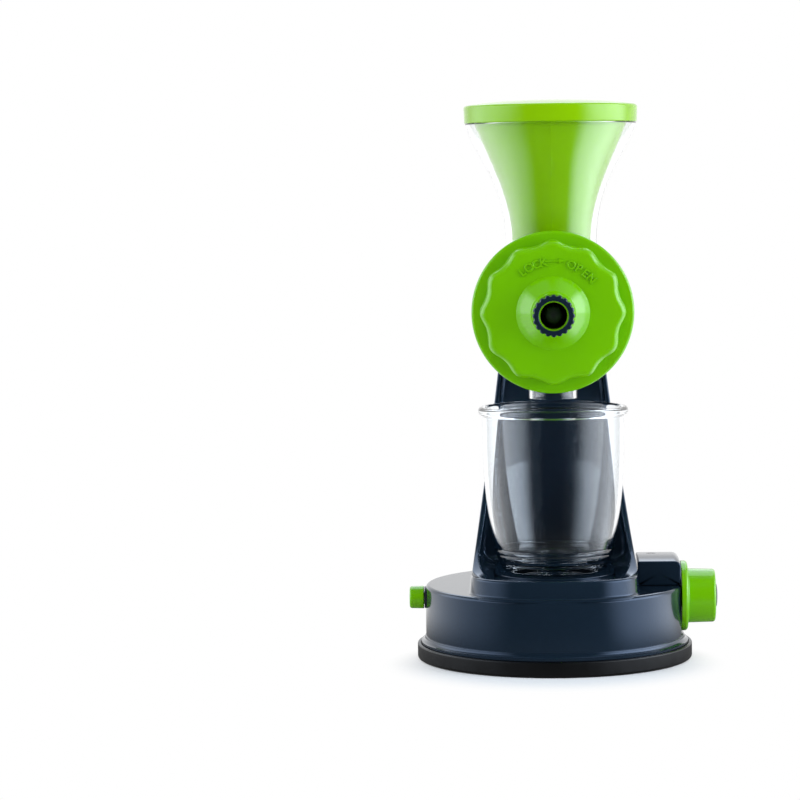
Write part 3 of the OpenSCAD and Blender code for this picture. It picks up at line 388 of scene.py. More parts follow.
def finish(name):
    """The material of that name, made the first time that it is asked for."""
    if name not in bpy.data.materials:
        colours = bpy.context.scene.juicer_colours
        makers = {
            "slate abs": (moulded_abs, tuple(colours.slate), 0.1, linear("#C8DDFF")),
            "lime abs": (moulded_abs, tuple(colours.green), 0.1),
            "lime abs of the lid": (moulded_abs, tuple(colours.lid_green), 0.1),
            "clear plastic": (clear_moulding, tuple(colours.clear), 1.5, 30, 0.00004),
            "tumbler glass": (clear_moulding, tuple(colours.glass), 1.5, 26, 0.00008),
            "nitrile rubber": (moulded_rubber, tuple(colours.rubber)),
            "filled nylon": (satin_nylon, tuple(colours.nylon)),
            "turned steel": (brushed_steel, tuple(colours.steel), (1.0, 0.03, 1.0)),
            "blackened steel": (brushed_steel, linear("#2B2D31"), (1.0, 1.0, 1.0)),
        }
        material_of(name, *makers[name])
    return bpy.data.materials[name]


def dress(kind, *nodes):
    """Gives CAD nodes that stay visible their finish."""
    for node in nodes:
        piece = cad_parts[node]
        if not piece.material_slots:
            piece.data.materials.append(None)
        for slot in piece.material_slots:
            slot.material = finish(kind)


# ---- Pieces ----

class JUICER_OT_base(Operator):
    """Builds the drum with its flared skirt, and the rubber pad under it"""
    bl_idname = "juicer.base"
    bl_label = "Drum and pad"

    def execute(self, context):
        sizes = context.scene.juicer_sizes
        foot = sizes.pad_edge / MM
        pad = rounded([(0, 2, 0), (27, 2, 20), (40, 0.6, 20), (64, 0.5, 2), (68, 0, 1),
                       (80, 0, foot), (80, 9, 1.4), (78.3, 9, 0.3), (77.9, 8.6, 0.2), (68, 8.6, 1),
                       (64, 3.6, 2), (27, 4.6, 1), (23, 6.6, 1), (18.3, 6.6, 0.3), (18.3, 4.6, 0),
                       (0, 4.6, 0)])
        surface_piece("suction_pad_rubber", [turned(pad, around=256)],
                      "nitrile rubber", "base", "suction_pad")
        surface_piece("drum_shell", [drum_grid(sizes.deck_edge / MM)],
                      "slate abs", "base", "base_housing")
        return {'FINISHED'}


def drum_grid(edge):
    """The drum's profile carried round, with a flat where the knob seats: between the flat's two
    sides the wall's points are held to the flat's distance. Under the stand its deck is open, where
    the cam turns."""
    flat_x, flat_z, radius, ledge, foot = 73.2, 13.7, 75.0, 13.1, 9.0
    bore, under, opening = 72, 40, 22
    half = np.arccos(flat_x / radius)
    angle = np.concatenate([np.linspace(-half, half, 33), np.linspace(half, 2 * np.pi - half, 257)])
    seated = np.arange(len(angle)) < 33
    curl = np.linspace(-np.pi / 2, -np.pi, 9)
    flare = np.column_stack([77.8 + 2.3 * np.cos(curl), ledge - 0.5 + 2.3 * np.sin(curl)])
    skirt = rounded([(bore, foot, 0), (77.8, foot, 0.3), (77.8, 10.3, 0)])[1:]
    groove = rounded([(75.5, 12.8, 0), (75.4, 13.3, 0.25), (radius, 13.35, 0.1), (radius, 13.6, 0)])
    below = np.vstack([[(bore, under), (bore, foot)], skirt, flare, groove])
    rise = np.array([(radius, z) for z in (flat_z, 20, 30, 38)])
    curve = np.linspace(0, np.pi / 2, 9)
    top = np.column_stack([radius - edge + edge * np.cos(curve), DECK - edge + edge * np.sin(curve)])
    deck = np.array([(70, DECK), (40, DECK), (opening, DECK), (opening, under), (bore, under)])
    profile = np.vstack([below, rise, top, deck])
    grid = swept(profile[:, :1], profile[:, 1:], angle[None, :])
    rows = np.arange(len(profile))
    walled = (rows >= len(below)) & (rows < len(below) + len(rise) + len(top))
    window = walled[:, None] & seated[None, :]
    grid[..., 0] = np.where(window, np.minimum(grid[..., 0], flat_x), grid[..., 0])
    return grid


class JUICER_OT_stand(Operator):
    """Builds the stand with its glass seat, wings, column and collar"""
    bl_idname = "juicer.stand"
    bl_label = "Stand"

    def execute(self, context):
        sizes = context.scene.juicer_sizes
        lip = sizes.seat_lip / MM
        collar = turned(collar_profile(), BACKWARD, BARREL, 128)
        disc = rounded([(0, 0, 0), (35.2, 0, 0.4), (35.2, -2.5, 0), (0, -2.5, 0)])
        disc = turned(disc, UP, SEAT, 128)
        grids = [wing_grid(sizes.wing_edge / MM, lip), plinth_grid(lip), collar, disc, rib_grid()]
        surface_piece("stand_shell", grids, "slate abs", "base", "stand_column")
        dress("turned steel", "column_screws")
        return {'FINISHED'}


def against(height, curve):
    """Where a curve of (place, height) stands at a height."""
    return np.interp(height, curve[:, 1], curve[:, 0])


def stand_curves():
    """The stand's five outlines over its height: half-width outside and inside, and the places of
    its front edge, of the wall behind the glass and of its back."""
    seat, top = SEAT[2], COLUMN_TOP
    outside = np.vstack([[(47.6, 42)],
                         bezier((47.3, seat), (42.2, seat + 34), (34, 141.5), (28.2, top), 40)])
    turn = np.radians(np.linspace(270, 352, 12))
    scoop = np.column_stack([34.4 + 8.5 * np.cos(turn), seat + 8.5 + 8.5 * np.sin(turn)])
    inside = np.vstack([scoop,
                        bezier((43, seat + 11), (37.9, seat + 36), (31, 141.5), (25.2, top + 1), 40)])
    front = np.vstack([bezier((-62, seat), (-30, seat), (6, seat + 34), (12, seat + 96), 60),
                       [(14, top)]])
    fillet = np.radians(np.linspace(270, 360, 8))
    wall = np.vstack([np.column_stack([13 + 5 * np.cos(fillet), seat + 5 + 5 * np.sin(fillet)]),
                      [(18, top)]])
    back = bezier((46, DECK), (46, seat + 50), (34, top - 63), (37, top), 40)
    return outside, inside, front, wall, back


def bow(y):
    """The seat's half-width at a place: straight sides, and in front a rounded bow, whose width and
    length, as shares of its half-width and reach and each to its power, add up to 1."""
    share = np.clip((BOW_START - np.asarray(y, float)) / BOW_REACH, 0, 1)
    return BOW_HALF * (1 - share ** BOW_POWER) ** (1 / BOW_POWER)


def wing_outline(height, curves, edge, lip):
    """The stand cut level at a height: a horseshoe whose ends are the wings. The wings' outer sides
    follow the seat's bow where they reach far forward, and step in behind its lip."""
    half, scoop, front, wall, back = (float(against(height, c)) for c in curves)

    def outer(y):
        return np.minimum(half, bow(y) - 0.05 - lip * np.clip((-44 - y) / 9, 0, 1))

    inner_y = np.linspace(wall - 6, front + 2.5, 6)
    outer_y = np.linspace(front + 2.5, back - 15, 9)
    inner_x = np.minimum(scoop, outer(inner_y) - 3)
    right = [(0, wall, 0), (scoop, wall, 4)]
    right += [(x, y, 0) for x, y in zip(inner_x, inner_y)]
    right += [(min(scoop, outer(front) - 3), front, edge), (outer(front), front, edge)]
    right += [(x, y, 0) for x, y in zip(outer(outer_y), outer_y)]
    right += [(half, back, 14), (0, back, 0)]
    left = [(-x, y, r) for x, y, r in right[-2:0:-1]]
    return corner_arcs(right + left + [(0, wall, 0)], 5)


def wing_grid(edge, lip):
    """The wings and the column: level cuts stacked up the front edge's own curve. The top is cut
    to the barrel's circle and closed by rings that shrink onto its middle."""
    curves = stand_curves()
    seat, top = SEAT[2], COLUMN_TOP
    hollow, hollow_from = 31.6, 160
    heights = np.concatenate([[seat - 2], curves[2][:-1, 1], np.linspace(seat + 96, top, 12)[1:]])
    cuts = np.stack([wing_outline(max(z, seat), curves, edge, lip) for z in heights])
    z = np.broadcast_to(heights[:, None], cuts.shape[:2])
    levels = np.concatenate([cuts, z[..., None]], axis=-1)
    foot = levels[0].copy()
    foot[:, :2] = (0, 30)
    shrink = np.linspace(0.8, 0, 5)[:, None, None]
    middle = np.array([0, 30, top])
    caps = middle + shrink * (levels[-1] - middle) * (1, 1, 0) + (levels[-1] - middle) * (0, 0, 1)
    levels = np.concatenate([foot[None], levels, caps])
    arch = BARREL[2] - np.sqrt(hollow ** 2 - np.minimum(levels[..., 0] ** 2, 30 ** 2))
    z = levels[..., 2]
    levels[..., 2] = np.where(z > hollow_from, np.minimum(z, arch), z)
    return levels


def plinth_grid(lip):
    """The seat: a rounded bow in front, straight sides and rounded back corners. Its wall widens a
    little towards the deck and meets it in a fillet; a rounded rim stands round its sunk top."""
    seat = SEAT[2]
    turn = np.linspace(0, np.pi / 2, 61)
    x = BOW_HALF * np.sin(turn) ** (2 / BOW_POWER)
    y = BOW_START - BOW_REACH * np.cos(turn) ** (2 / BOW_POWER)
    right = np.column_stack([x, y])[:-1]
    back = rounded([(BOW_HALF, BOW_START, 0), (BOW_HALF, 45.9, 14), (-BOW_HALF, 45.9, 14),
                    (-BOW_HALF, BOW_START, 0)], 10)
    outline = np.vstack([right, back, (right * (-1, 1))[:0:-1]])
    a = np.linspace(0, np.pi / 2, 8)
    fillet = np.column_stack([-0.5 - 1.6 * (1 - np.sin(a)), DECK + 1.6 * (1 - np.cos(a))])
    edge = np.column_stack([lip * (1 - np.cos(a)), seat - lip * (1 - np.sin(a))])
    hidden = [(3, seat - 3), (3, DECK - 1.2), (-2.1, DECK - 1.2)]
    sunk = [(2.2, seat - 0.1), (2.6, seat - 0.6), (3, seat - 1.1), (4.5, seat - 1.3), (8, seat - 1.3)]
    return stacked(outline, np.vstack([hidden, fillet, edge, sunk]))


def collar_profile():
    """The collar that holds the barrel, with its boss round the drive shaft's bearing."""
    return rounded([(31.1, 22, 0), (31.1, 37.6, 0.5), (9.1, 37.6, 0), (9.1, 49.5, 0.4),
                    (11.9, 49.5, 0.6), (14.2, 43.5, 1.6), (34.25, 43.5, 4), (34.25, 14, 1.1),
                    (31.1, 14, 0.5), (31.1, 22, 0)])


def rib_grid():
    """The C-shaped rib that keeps the glass in its place: a rounded strip carried round the seat,
    open at the front, with both ends closed on the strip's middle."""
    section = rounded([(34, -0.5, 0), (35, -0.5, 0), (35, 2.5, 0.7), (33, 2.5, 0.7), (33, -0.5, 0),
                       (34, -0.5, 0)])
    angle = np.radians(np.linspace(-15, 195, 91))
    angle = np.concatenate([angle[:1], angle, angle[-1:]])[None, :]
    scale = np.ones_like(angle)
    scale[0, [0, -1]] = 0
    radius = 34 + (section[:, :1] - 34) * scale
    height = 1 + (section[:, 1:] - 1) * scale
    return swept(radius, height, angle, UP, SEAT)


class JUICER_OT_cover(Operator):
    """Builds the cover over the knob's shaft, with its rounded end"""
    bl_idname = "juicer.cover"
    bl_label = "Shaft cover"

    def execute(self, context):
        edge = context.scene.juicer_sizes.cover_edge / MM
        side = rounded([(60, 43, 0), (73.2, 43, 0.3), (73.2, 58.8, 4), (48.2, 58.8, 1.2),
                        (48.2, 43, 0.3), (60, 43, 0)], 8)
        levels = edge_levels(-16.5, 16.5, edge)
        inner = np.column_stack([np.zeros(9), np.linspace(-16.5 + edge, 16.5 - edge, 11)[1:-1]])
        grid = stacked(side[:-1], np.vstack([levels[:6], inner, levels[6:]]), BACKWARD)
        # The top falls off from its crest with the square of the distance, less so at the back.
        crest, depth, height = 4, grid[..., 1], grid[..., 2]
        fall = 1.7 * np.clip((height - 50) / 8.8, 0, 1) * np.clip((depth - crest) / 20.5, -1, 1) ** 2
        grid[..., 2] -= np.where(depth < crest, fall, 0.35 * fall)
        surface_piece("shaft_cover_shell", [grid], "slate abs", "base", "shaft_cover")
        dress("blackened steel", "cover_screw")
        return {'FINISHED'}


class JUICER_OT_knob(Operator):
    """Builds the vacuum knob with its end disc, and the release button on the other side"""
    bl_idname = "juicer.knob"
    bl_label = "Knob and button"

    def execute(self, context):
        knob = rounded([(0, 1.8, 0), (7, 1.8, 0.2), (7, 0, 0.2), (20.4, 0, 0.4), (20.4, 4, 2.6),
                        (15.8, 4, 0.9), (15.4, 20, 1.6), (6.85, 20, 0.3), (6.85, 18, 0), (0, 18, 0)])
        surface_piece("vacuum_knob_grip", [turned(knob + (0, 73.5), RIGHTWARD, SHAFT)],
                      "lime abs", "knob", "vacuum_knob")
        cap = np.vstack([rounded([(0, 0, 0), (6.8, 0, 0.2), (6.8, 2.9, 0.7), (5.2, 3.2, 1)])[:-1],
                         bezier((5.4, 3.15), (4, 3.4), (2, 3.4), (0, 3.4), 6)])
        surface_piece("knob_end_disc", [turned(cap + (0, 91.5), RIGHTWARD, SHAFT, 96)],
                      "filled nylon", "knob", "knob_cap")
        button = rounded([(0, 0, 0), (6.6, 0, 0.6), (6.4, 8.4, 1.3), (0, 8.4, 0)])
        surface_piece("release_button_face", [turned(button + (0, 76), LEFTWARD, SHAFT, 96)],
                      "lime abs", "knob", "release_button")
        dress("filled nylon", "shaft_bushes")
        dress("turned steel", "lock_shaft")
        return {'FINISHED'}


class JUICER_OT_glass(Operator):
    """Builds the tumbler: a bellied wall on a heavy foot, two beads low down and a rounded rim"""
    bl_idname = "juicer.glass"
    bl_label = "Glass"

    def execute(self, context):
        surface_piece("tumbler_wall", [turned(glass_profile(), UP, SEAT, 256)],
                      "tumbler glass", "glass", "glass_tumbler")
        return {'FINISHED'}


def glass_wall(height):
    """The wall's outer radius: 30 mm at the foot, 40.6 mm at the rim, growing with the cube of the
    distance left to the rim."""
    return 30 + 10.6 * (1 - (1 - height / 95) ** 3)


def glass_profile():
    """The glass's section: foot, heel, outer wall with two bumps shaped as bell curves, a rounded
    rim, and the inner wall down to a thick floor."""
    foot = rounded([(0, 0.8, 0), (21, 0.8, 0.6), (22, 0, 0.6), (27, 0, 2), (29.3, 1.4, 2),
                    (glass_wall(4), 4, 0)])
    beaded = np.linspace(8.6, 14.4, 49)
    h = np.concatenate([np.linspace(4.5, 8.4, 5), beaded, np.linspace(15, 89, 38)])
    bumps = 0.62 * sum(np.exp(-((h - at) / 0.55) ** 2) for at in (10, 13))
    wall = np.column_stack([glass_wall(h) + bumps, h])
    rim = rounded([(40.6, 89, 0), (40.6, 90.2, 1.0), (42.9, 90.9, 1.6), (42.9, 95, 2.2),
                   (38.4, 95, 2.0), (38.35, 90, 0)], 10)
    inner_h = np.linspace(89, 14, 30)
    inner = np.column_stack([glass_wall(inner_h) - 2.2, inner_h])
    floor = bezier(inner[-1], (inner[-1][0] - 0.6, 8.5), (29, 6), (21, 6), 12)[1:]
    return np.vstack([foot[:-1], wall, rim[1:], inner, floor, [(0, 6)]])


class JUICER_OT_hopper(Operator):
    """Finishes the CAD hopper, barrel and spout in clear plastic"""
    bl_idname = "juicer.hopper"
    bl_label = "Hopper and barrel"

    def execute(self, context):
        dress("clear plastic", "hopper_barrel")
        return {'FINISHED'}


class JUICER_OT_pusher(Operator):
    """Builds the flared pusher in the hopper and its domed lid"""
    bl_idname = "juicer.pusher"
    bl_label = "Pusher and lid"

    def execute(self, context):
        flare = bezier((22.5, 39), (22.5, 61.5), (33, 81.3), (43.8, 106.8), 28)
        foot = rounded([(0, 37.5, 0), (22.5, 37.5, 1.4), (22.5, 39.5, 0)])
        outer = np.vstack([foot[:-1], flare, [(43.8, 114)]])
        inner = np.column_stack([flare[:, 0] - 2.5, np.maximum(flare[:, 1], 40)])[::-1]
        body = np.vstack([outer, [(41.3, 114)], inner, [(0, 40)]])
        near = np.radians(np.linspace(0.15, 1.35, 9))
        turn = np.concatenate([np.linspace(0, 2 * np.pi, 241), near, 2 * np.pi - near])
        turn = np.sort(turn)[None, :]
        seam = 0.1 * np.exp(-(np.minimum(turn, 2 * np.pi - turn) / np.radians(0.5)) ** 2)
        outside = (np.arange(len(body)) < len(outer))[:, None] & (body[:, :1] > 22)
        grid = swept(body[:, :1] + seam * outside, body[:, 1:], turn - np.pi / 2, UP, HOPPER)
        surface_piece("pusher_flare", [grid], "lime abs of the lid", "pusher", "pusher")
        top = bezier((46.6, 117.1), (32.9, 119.2), (16.4, 119.8), (0, 119.8), 14)
        side = rounded([(0, 117.3, 0), (39.2, 114.3, 0), (39.2, 109.3, 0.5), (41.2, 109.3, 0.5),
                        (41.2, 114.3, 0.4), (47.3, 114.3, 0.6), (47.3, 106.8, 0.4), (49.4, 106.8, 0.5),
                        (49.8, 116.7, 2.0), (46.6, 117.1, 0)])
        surface_piece("pusher_lid_cap", [turned(np.vstack([side[:-1], top]), UP, HOPPER, 256)],
                      "lime abs of the lid", "pusher", "pusher_lid")
        return {'FINISHED'}


class JUICER_OT_ring(Operator):
    """Builds the lock ring: rim, scalloped grip, cone and nozzle"""
    bl_idname = "juicer.ring"
    bl_label = "Lock ring"

    def execute(self, context):
        sizes = context.scene.juicer_sizes
        surface_piece("lock_ring_grip", [ring_grid(sizes.cusps, sizes.wave / MM)],
                      "lime abs", "ring", "lock_ring")
        dress("nitrile rubber", "ring_gasket")
        return {'FINISHED'}


def ring_grid(cusps, wave):
    """The ring's section carried round its axis. The points of the grip's wall and edge take their
    radius from waves round the grip, less a set-back of their own: a wave is half of one plus the
    cosine of the angle times the number of cusps, a little sharpened at its crest."""
    back = rounded([(7.4, 101.5, 0), (7.4, 88, 1), (17.3, 64.6, 2), (34.8, 64.6, 1),
                    (34.8, 54.9, 0.5), (40, 54.9, 0.3), (40, 42.7, 0.3), (45.7, 42.7, 1.4),
                    (45.7, 57, 1.6), (42.4, 57, 0)], 8)
    a = np.linspace(0, np.pi / 2, 9)
    fillet = np.column_stack([-0.7 + 0.7 * np.sin(a), 57 + 0.7 * (1 - np.cos(a))])
    edge = np.column_stack([3.4 * (1 - np.cos(a)), 64.6 + 3.4 * np.sin(a)])
    grip = np.vstack([fillet, [(0, 61)], edge])
    cone = rounded([(22.2, RING_FACE, 0), (20.5, RING_FACE, 0.5), (12.2, 77.5, 2.5), (11.6, 88, 0.3),
                    (8.9, 88, 0.3), (8.9, 101.5, 0.7), (7.4, 101.5, 0.2), (7.4, 100, 0)])
    front = np.vstack([[(33, RING_FACE), (24, RING_FACE)], cone])
    angle = np.linspace(0, 2 * np.pi, cusps * 32 + 1)[None, :]
    waist = 38.1
    scallops = waist + wave * ((1 + np.cos(cusps * (angle - np.pi / 2))) / 2) ** 1.25
    ones = np.ones_like(angle)
    radius = np.vstack([back[:, :1] * ones, scallops - grip[:, :1], front[:, :1] * ones])
    height = np.concatenate([back[:, 1], grip[:, 1], front[:, 1]])[:, None]
    return swept(radius, height, angle, FORWARD, BARREL)


class JUICER_OT_lettering(Operator):
    """Builds the raised words and arrow on the ring"""
    bl_idname = "juicer.lettering"
    bl_label = "Ring lettering"

    def execute(self, context):
        sizes = context.scene.juicer_sizes
        height, rise = sizes.letter_height / MM, sizes.letter_rise / MM
        middle = 28.9
        places = [("L", 126.4), ("O", 117.4), ("C", 108.8), ("K", 100.4),
                  ("O", 68.7), ("P", 59.6), ("E", 50.5), ("N", 41.6)]
        corners, faces = [], []
        for letter, degrees in places:
            points, polygons = letter_mesh(letter, height, rise)
            turn = np.radians(degrees - 90)
            points[:, 1] += middle - height / 2
            cos, sin = np.cos(turn), np.sin(turn)
            spin = np.array([[cos, sin, 0], [-sin, cos, 0], [0, 0, 1]])
            faces += [[i + sum(len(c) for c in corners) for i in p] for p in polygons]
            corners.append(points @ spin)
        own = np.vstack(corners) + (0, 0, RING_FACE)
        finished_piece("ring_letters", own @ FORWARD + BARREL, faces, "lime abs", "ring")
        arrow = np.array([(-7.6, -0.35), (3.2, -0.35), (3.2, -1.5), (6.4, 0), (3.2, 1.5), (3.2, 0.35),
                          (-7.6, 0.35)])
        arrow = arrow + (0.2, 29.0)
        surface_piece("ring_arrow", arrow_grids(arrow, rise), "lime abs", "ring")
        return {'FINISHED'}


def letter_mesh(letter, height, rise):
    """One capital of Blender's own font as a closed mesh, centred on its width, standing on its
    foot line and rising from just under the face: returns its points in millimetres and its faces."""
    text = bpy.data.curves.new("letter", 'FONT')
    text.body = letter
    text.align_x = 'CENTER'
    text.size = height / 0.73  # its capitals are 0.73 of its size
    text.offset = 0.01
    text.extrude = rise
    text.bevel_depth = 0.16
    text.bevel_resolution = 2
    holder = bpy.data.objects.new("letter", text)
    bpy.context.scene.collection.objects.link(holder)
    graph = bpy.context.evaluated_depsgraph_get()
    mesh = bpy.data.meshes.new_from_object(holder.evaluated_get(graph))
    points = np.empty(len(mesh.vertices) * 3)
    mesh.vertices.foreach_get("co", points)
    polygons = [list(p.vertices) for p in mesh.polygons]
    bpy.data.objects.remove(holder)
    bpy.data.curves.remove(text)
    bpy.data.meshes.remove(mesh)
    return points.reshape(-1, 3), polygons


def arrow_grids(outline, rise):
    """The arrow as two stacked shapes, shaft and head, rising from just under the face."""
    shaft = outline[[0, 1, 5, 6]]
    head = outline[[2, 3, 4]]
    levels = [(0, RING_FACE - 0.2), (0, RING_FACE + rise - 0.1), (0.1, RING_FACE + rise)]
    return [stacked(part, levels, FORWARD, BARREL) for part in (shaft, head)]


class JUICER_OT_nut(Operator):
    """Builds the knurled waste nut on the nozzle"""
    bl_idname = "juicer.nut"
    bl_label = "Waste nut"

    def execute(self, context):
        notches = context.scene.juicer_sizes.notches
        angle = np.linspace(0, 2 * np.pi, notches * 14 + 1)[None, :]
        dip = (1 - np.cos(notches * (angle - np.pi / 2))) / 2
        knurl = 11.7 - 0.9 * dip ** 2
        ring = rounded([(9.2, 101.8, 0), (9.2, 90.8, 0.3), (11.0, 90.8, 0)])
        wall = np.array([(0.7, 90.8), (0.25, 90.95), (0, 91.4), (0, 96), (0, 101.9), (0.2, 102.5),
                         (0.75, 102.9)])
        face = rounded([(10.6, 103, 0), (8.2, 103, 0.5), (8.2, 101.8, 0.2), (9.2, 101.8, 0)])
        ones = np.ones_like(angle)
        radius = np.vstack([ring[:-1, :1] * ones, knurl - wall[:, :1], face[:, :1] * ones])
        height = np.concatenate([ring[:-1, 1], wall[:, 1], face[:, 1]])[:, None]
        surface_piece("waste_nut_knurl", [swept(radius, height, angle, FORWARD, BARREL)],
                      "slate abs", "nut", "waste_nut")
        dress("nitrile rubber", "nut_seal")
        return {'FINISHED'}


class JUICER_OT_auger(Operator):
    """Finishes the auger, the strainer round it and the shaft that drives it"""
    bl_idname = "juicer.auger"
    bl_label = "Auger and strainer"

    def execute(self, context):
        dress("filled nylon", "auger", "bearing_bush")
        dress("turned steel", "strainer", "drive_shaft")
        dress("nitrile rubber", "barrel_seal")
        return {'FINISHED'}


class JUICER_OT_crank(Operator):
    """Builds the crank arm, its nut, the grip and the grip's end cap"""
    bl_idname = "juicer.crank"
    bl_label = "Crank"

    def execute(self, context):
        arm = arm_outline()
        wall = edge_levels(51.35, 59.35, 1.3)
        panel = [(4.2, 59.35), (4.5, 59.2), (5.2, 58.6), (5.6, 58.45)]
        surface_piece("crank_arm_body", [stacked(arm, np.vstack([wall, panel]), BACKWARD)],
                      "slate abs", "crank", "crank_arm")
        surface_piece("crank_nut_dome", [nut_grid()], "turned steel", "crank", "crank_nut")
        swell = bezier((9.5, 1), (14.5, 24), (13.5, 56), (10, 79), 30)
        start = rounded([(4.2, 0, 0), (8.6, 0, 0.8), (9.5, 1, 0)])
        end = rounded([(10, 79, 0), (9.6, 80, 0.6), (6.65, 80, 0.3), (6.65, 72.8, 0), (4.2, 72.8, 0),
                       (4.2, 0, 0)])
        grip = np.vstack([start[:-1], swell, end[1:]])
        surface_piece("crank_grip_body", [turned(grip + (0, 60.35), BACKWARD, PIN, 128)],
                      "lime abs", "grip", "crank_grip")
        dress("slate abs", "grip_cap")
        dress("turned steel", "grip_pin")
        return {'FINISHED'}


def arm_outline():
    """The arm seen from behind: a 13 mm circle round the shaft and a 9 mm circle round the pin,
    joined by the lines that touch both."""
    lean = np.arcsin((13 - 9) / (BARREL[2] - PIN[2]))
    upper = np.linspace(-lean, np.pi + lean, 61)
    lower = np.linspace(np.pi + lean, 2 * np.pi - lean, 49)
    top = np.column_stack([13 * np.cos(upper), BARREL[2] + 13 * np.sin(upper)])
    bottom = np.column_stack([9 * np.cos(lower), PIN[2] + 9 * np.sin(lower)])
    left = np.linspace(top[-1], bottom[0], 26)[1:-1]
    right = np.linspace(bottom[-1], top[0], 26)[1:-1]
    return np.vstack([top, left, bottom, right])


def nut_grid():
    """The domed nut: a hexagon cut back by a chamfer cone at each height, then a round dome."""
    angle = np.linspace(0, 2 * np.pi, 145)[None, :]
    hexagon = 6.93 / np.cos((angle + np.pi / 6) % (np.pi / 3) - np.pi / 6)
    a = np.linspace(0, np.pi / 2, 13)[:, None]
    rows = [(0, 0), (0, 7.2), (0.5, 7.8), (1, 8.2), (5.2, 8.2), (5.6, 7.8), (6, 7)]
    height, limit = np.vstack([rows, np.hstack([6 + 6.4 * np.sin(a), 6.4 * np.cos(a)])]).T[..., None]
    return swept(np.minimum(hexagon, limit), height + 59.35, angle, BACKWARD, BARREL)


class JUICER_OT_inner(Operator):
    """Finishes the pieces inside the drum that draw up the pad"""
    bl_idname = "juicer.inner"
    bl_label = "Inner pieces"

    def execute(self, context):
        dress("turned steel", "stirrup", "pad_plate")
        dress("filled nylon", "lift_cam")
        return {'FINISHED'}


# ---- Stage ----

class JUICER_OT_stage(Operator):
    """Sets the table, the softboxes, the surroundings and the camera"""
    bl_idname = "juicer.stage"
    bl_label = "Stage"

    def execute(self, context):
        studio = context.scene.juicer_studio
        context.scene.view_settings.view_transform = 'Standard'
        table = bpy.data.meshes.new("table")
        table.from_pydata([(-6, -6, 0), (6, -6, 0), (6, 6, 0), (-6, 6, 0)], [], [(0, 1, 2, 3)])
        table.materials.append(material_of("white paper", table_finish, tuple(studio.lamp)))
        floor = bpy.data.objects.new("table", table)
        context.scene.collection.objects.link(floor)
        set_surroundings(context.scene, studio.fill, tuple(studio.lamp))
        for name, place, aim, width, height, radiance in (
                ("right softbox", (1.07, -0.43, 0.42), (0, 0, 0.18), 0.75, 0.9, studio.right_box),
                ("left softbox", (-1.14, -0.37, 0.42), (0, 0, 0.18), 0.7, 0.9, studio.left_box),
                ("top softbox", (0, -0.45, 1.3), (0, 0, 0.2), 1.1, 1.5, studio.top_box)):
            softbox(name, place, aim, width, height, radiance, tuple(studio.lamp)[:3])
        add_camera(context.scene)
        return {'FINISHED'}


def toward(tree, level, azimuth, narrow, wide):
    """A soft-edged patch of a room's wall: 1 within the narrow angle of an azimuth, 0 beyond the
    wide one. Azimuth is in degrees from the front, rightward positive; level is a level direction
    of length 1."""
    turn = np.radians(azimuth)
    near = add_node(tree, "VectorMath", {"operation": 'DOT_PRODUCT'}, {
        0: level, 1: (np.sin(turn), -np.cos(turn), 0)})
    return add_node(tree, "MapRange", {"interpolation_type": 'SMOOTHSTEP'}, {
        "Value": near, "From Min": np.cos(np.radians(wide)), "From Max": np.cos(np.radians(narrow))})


def room_walls(tree, direction, lamp, right, left):
    """The colour of the room's walls in a direction: dark in front of the juicer, white behind it,
    with the lamps' colour where the softboxes stand at its sides."""
    flat = add_node(tree, "VectorMath", {"operation": 'MULTIPLY'}, {0: direction, 1: (1, 1, 0)})
    level = add_node(tree, "VectorMath", {"operation": 'NORMALIZE'}, {0: flat})
    walls = add_node(tree, "Math", {"operation": 'MULTIPLY_ADD'}, {
        0: toward(tree, level, 180, 80, 152), 1: 1.15, 2: 0.02})
    for azimuth, narrow, wide, gain in ((80, 8, 44, right), (-84, 18, 52, left)):
        walls = add_node(tree, "VectorMath", {"operation": 'MULTIPLY_ADD'}, {
            0: toward(tree, level, azimuth, narrow, wide), 1: tuple(c * gain for c in lamp[:3]),
            2: walls})
    return walls


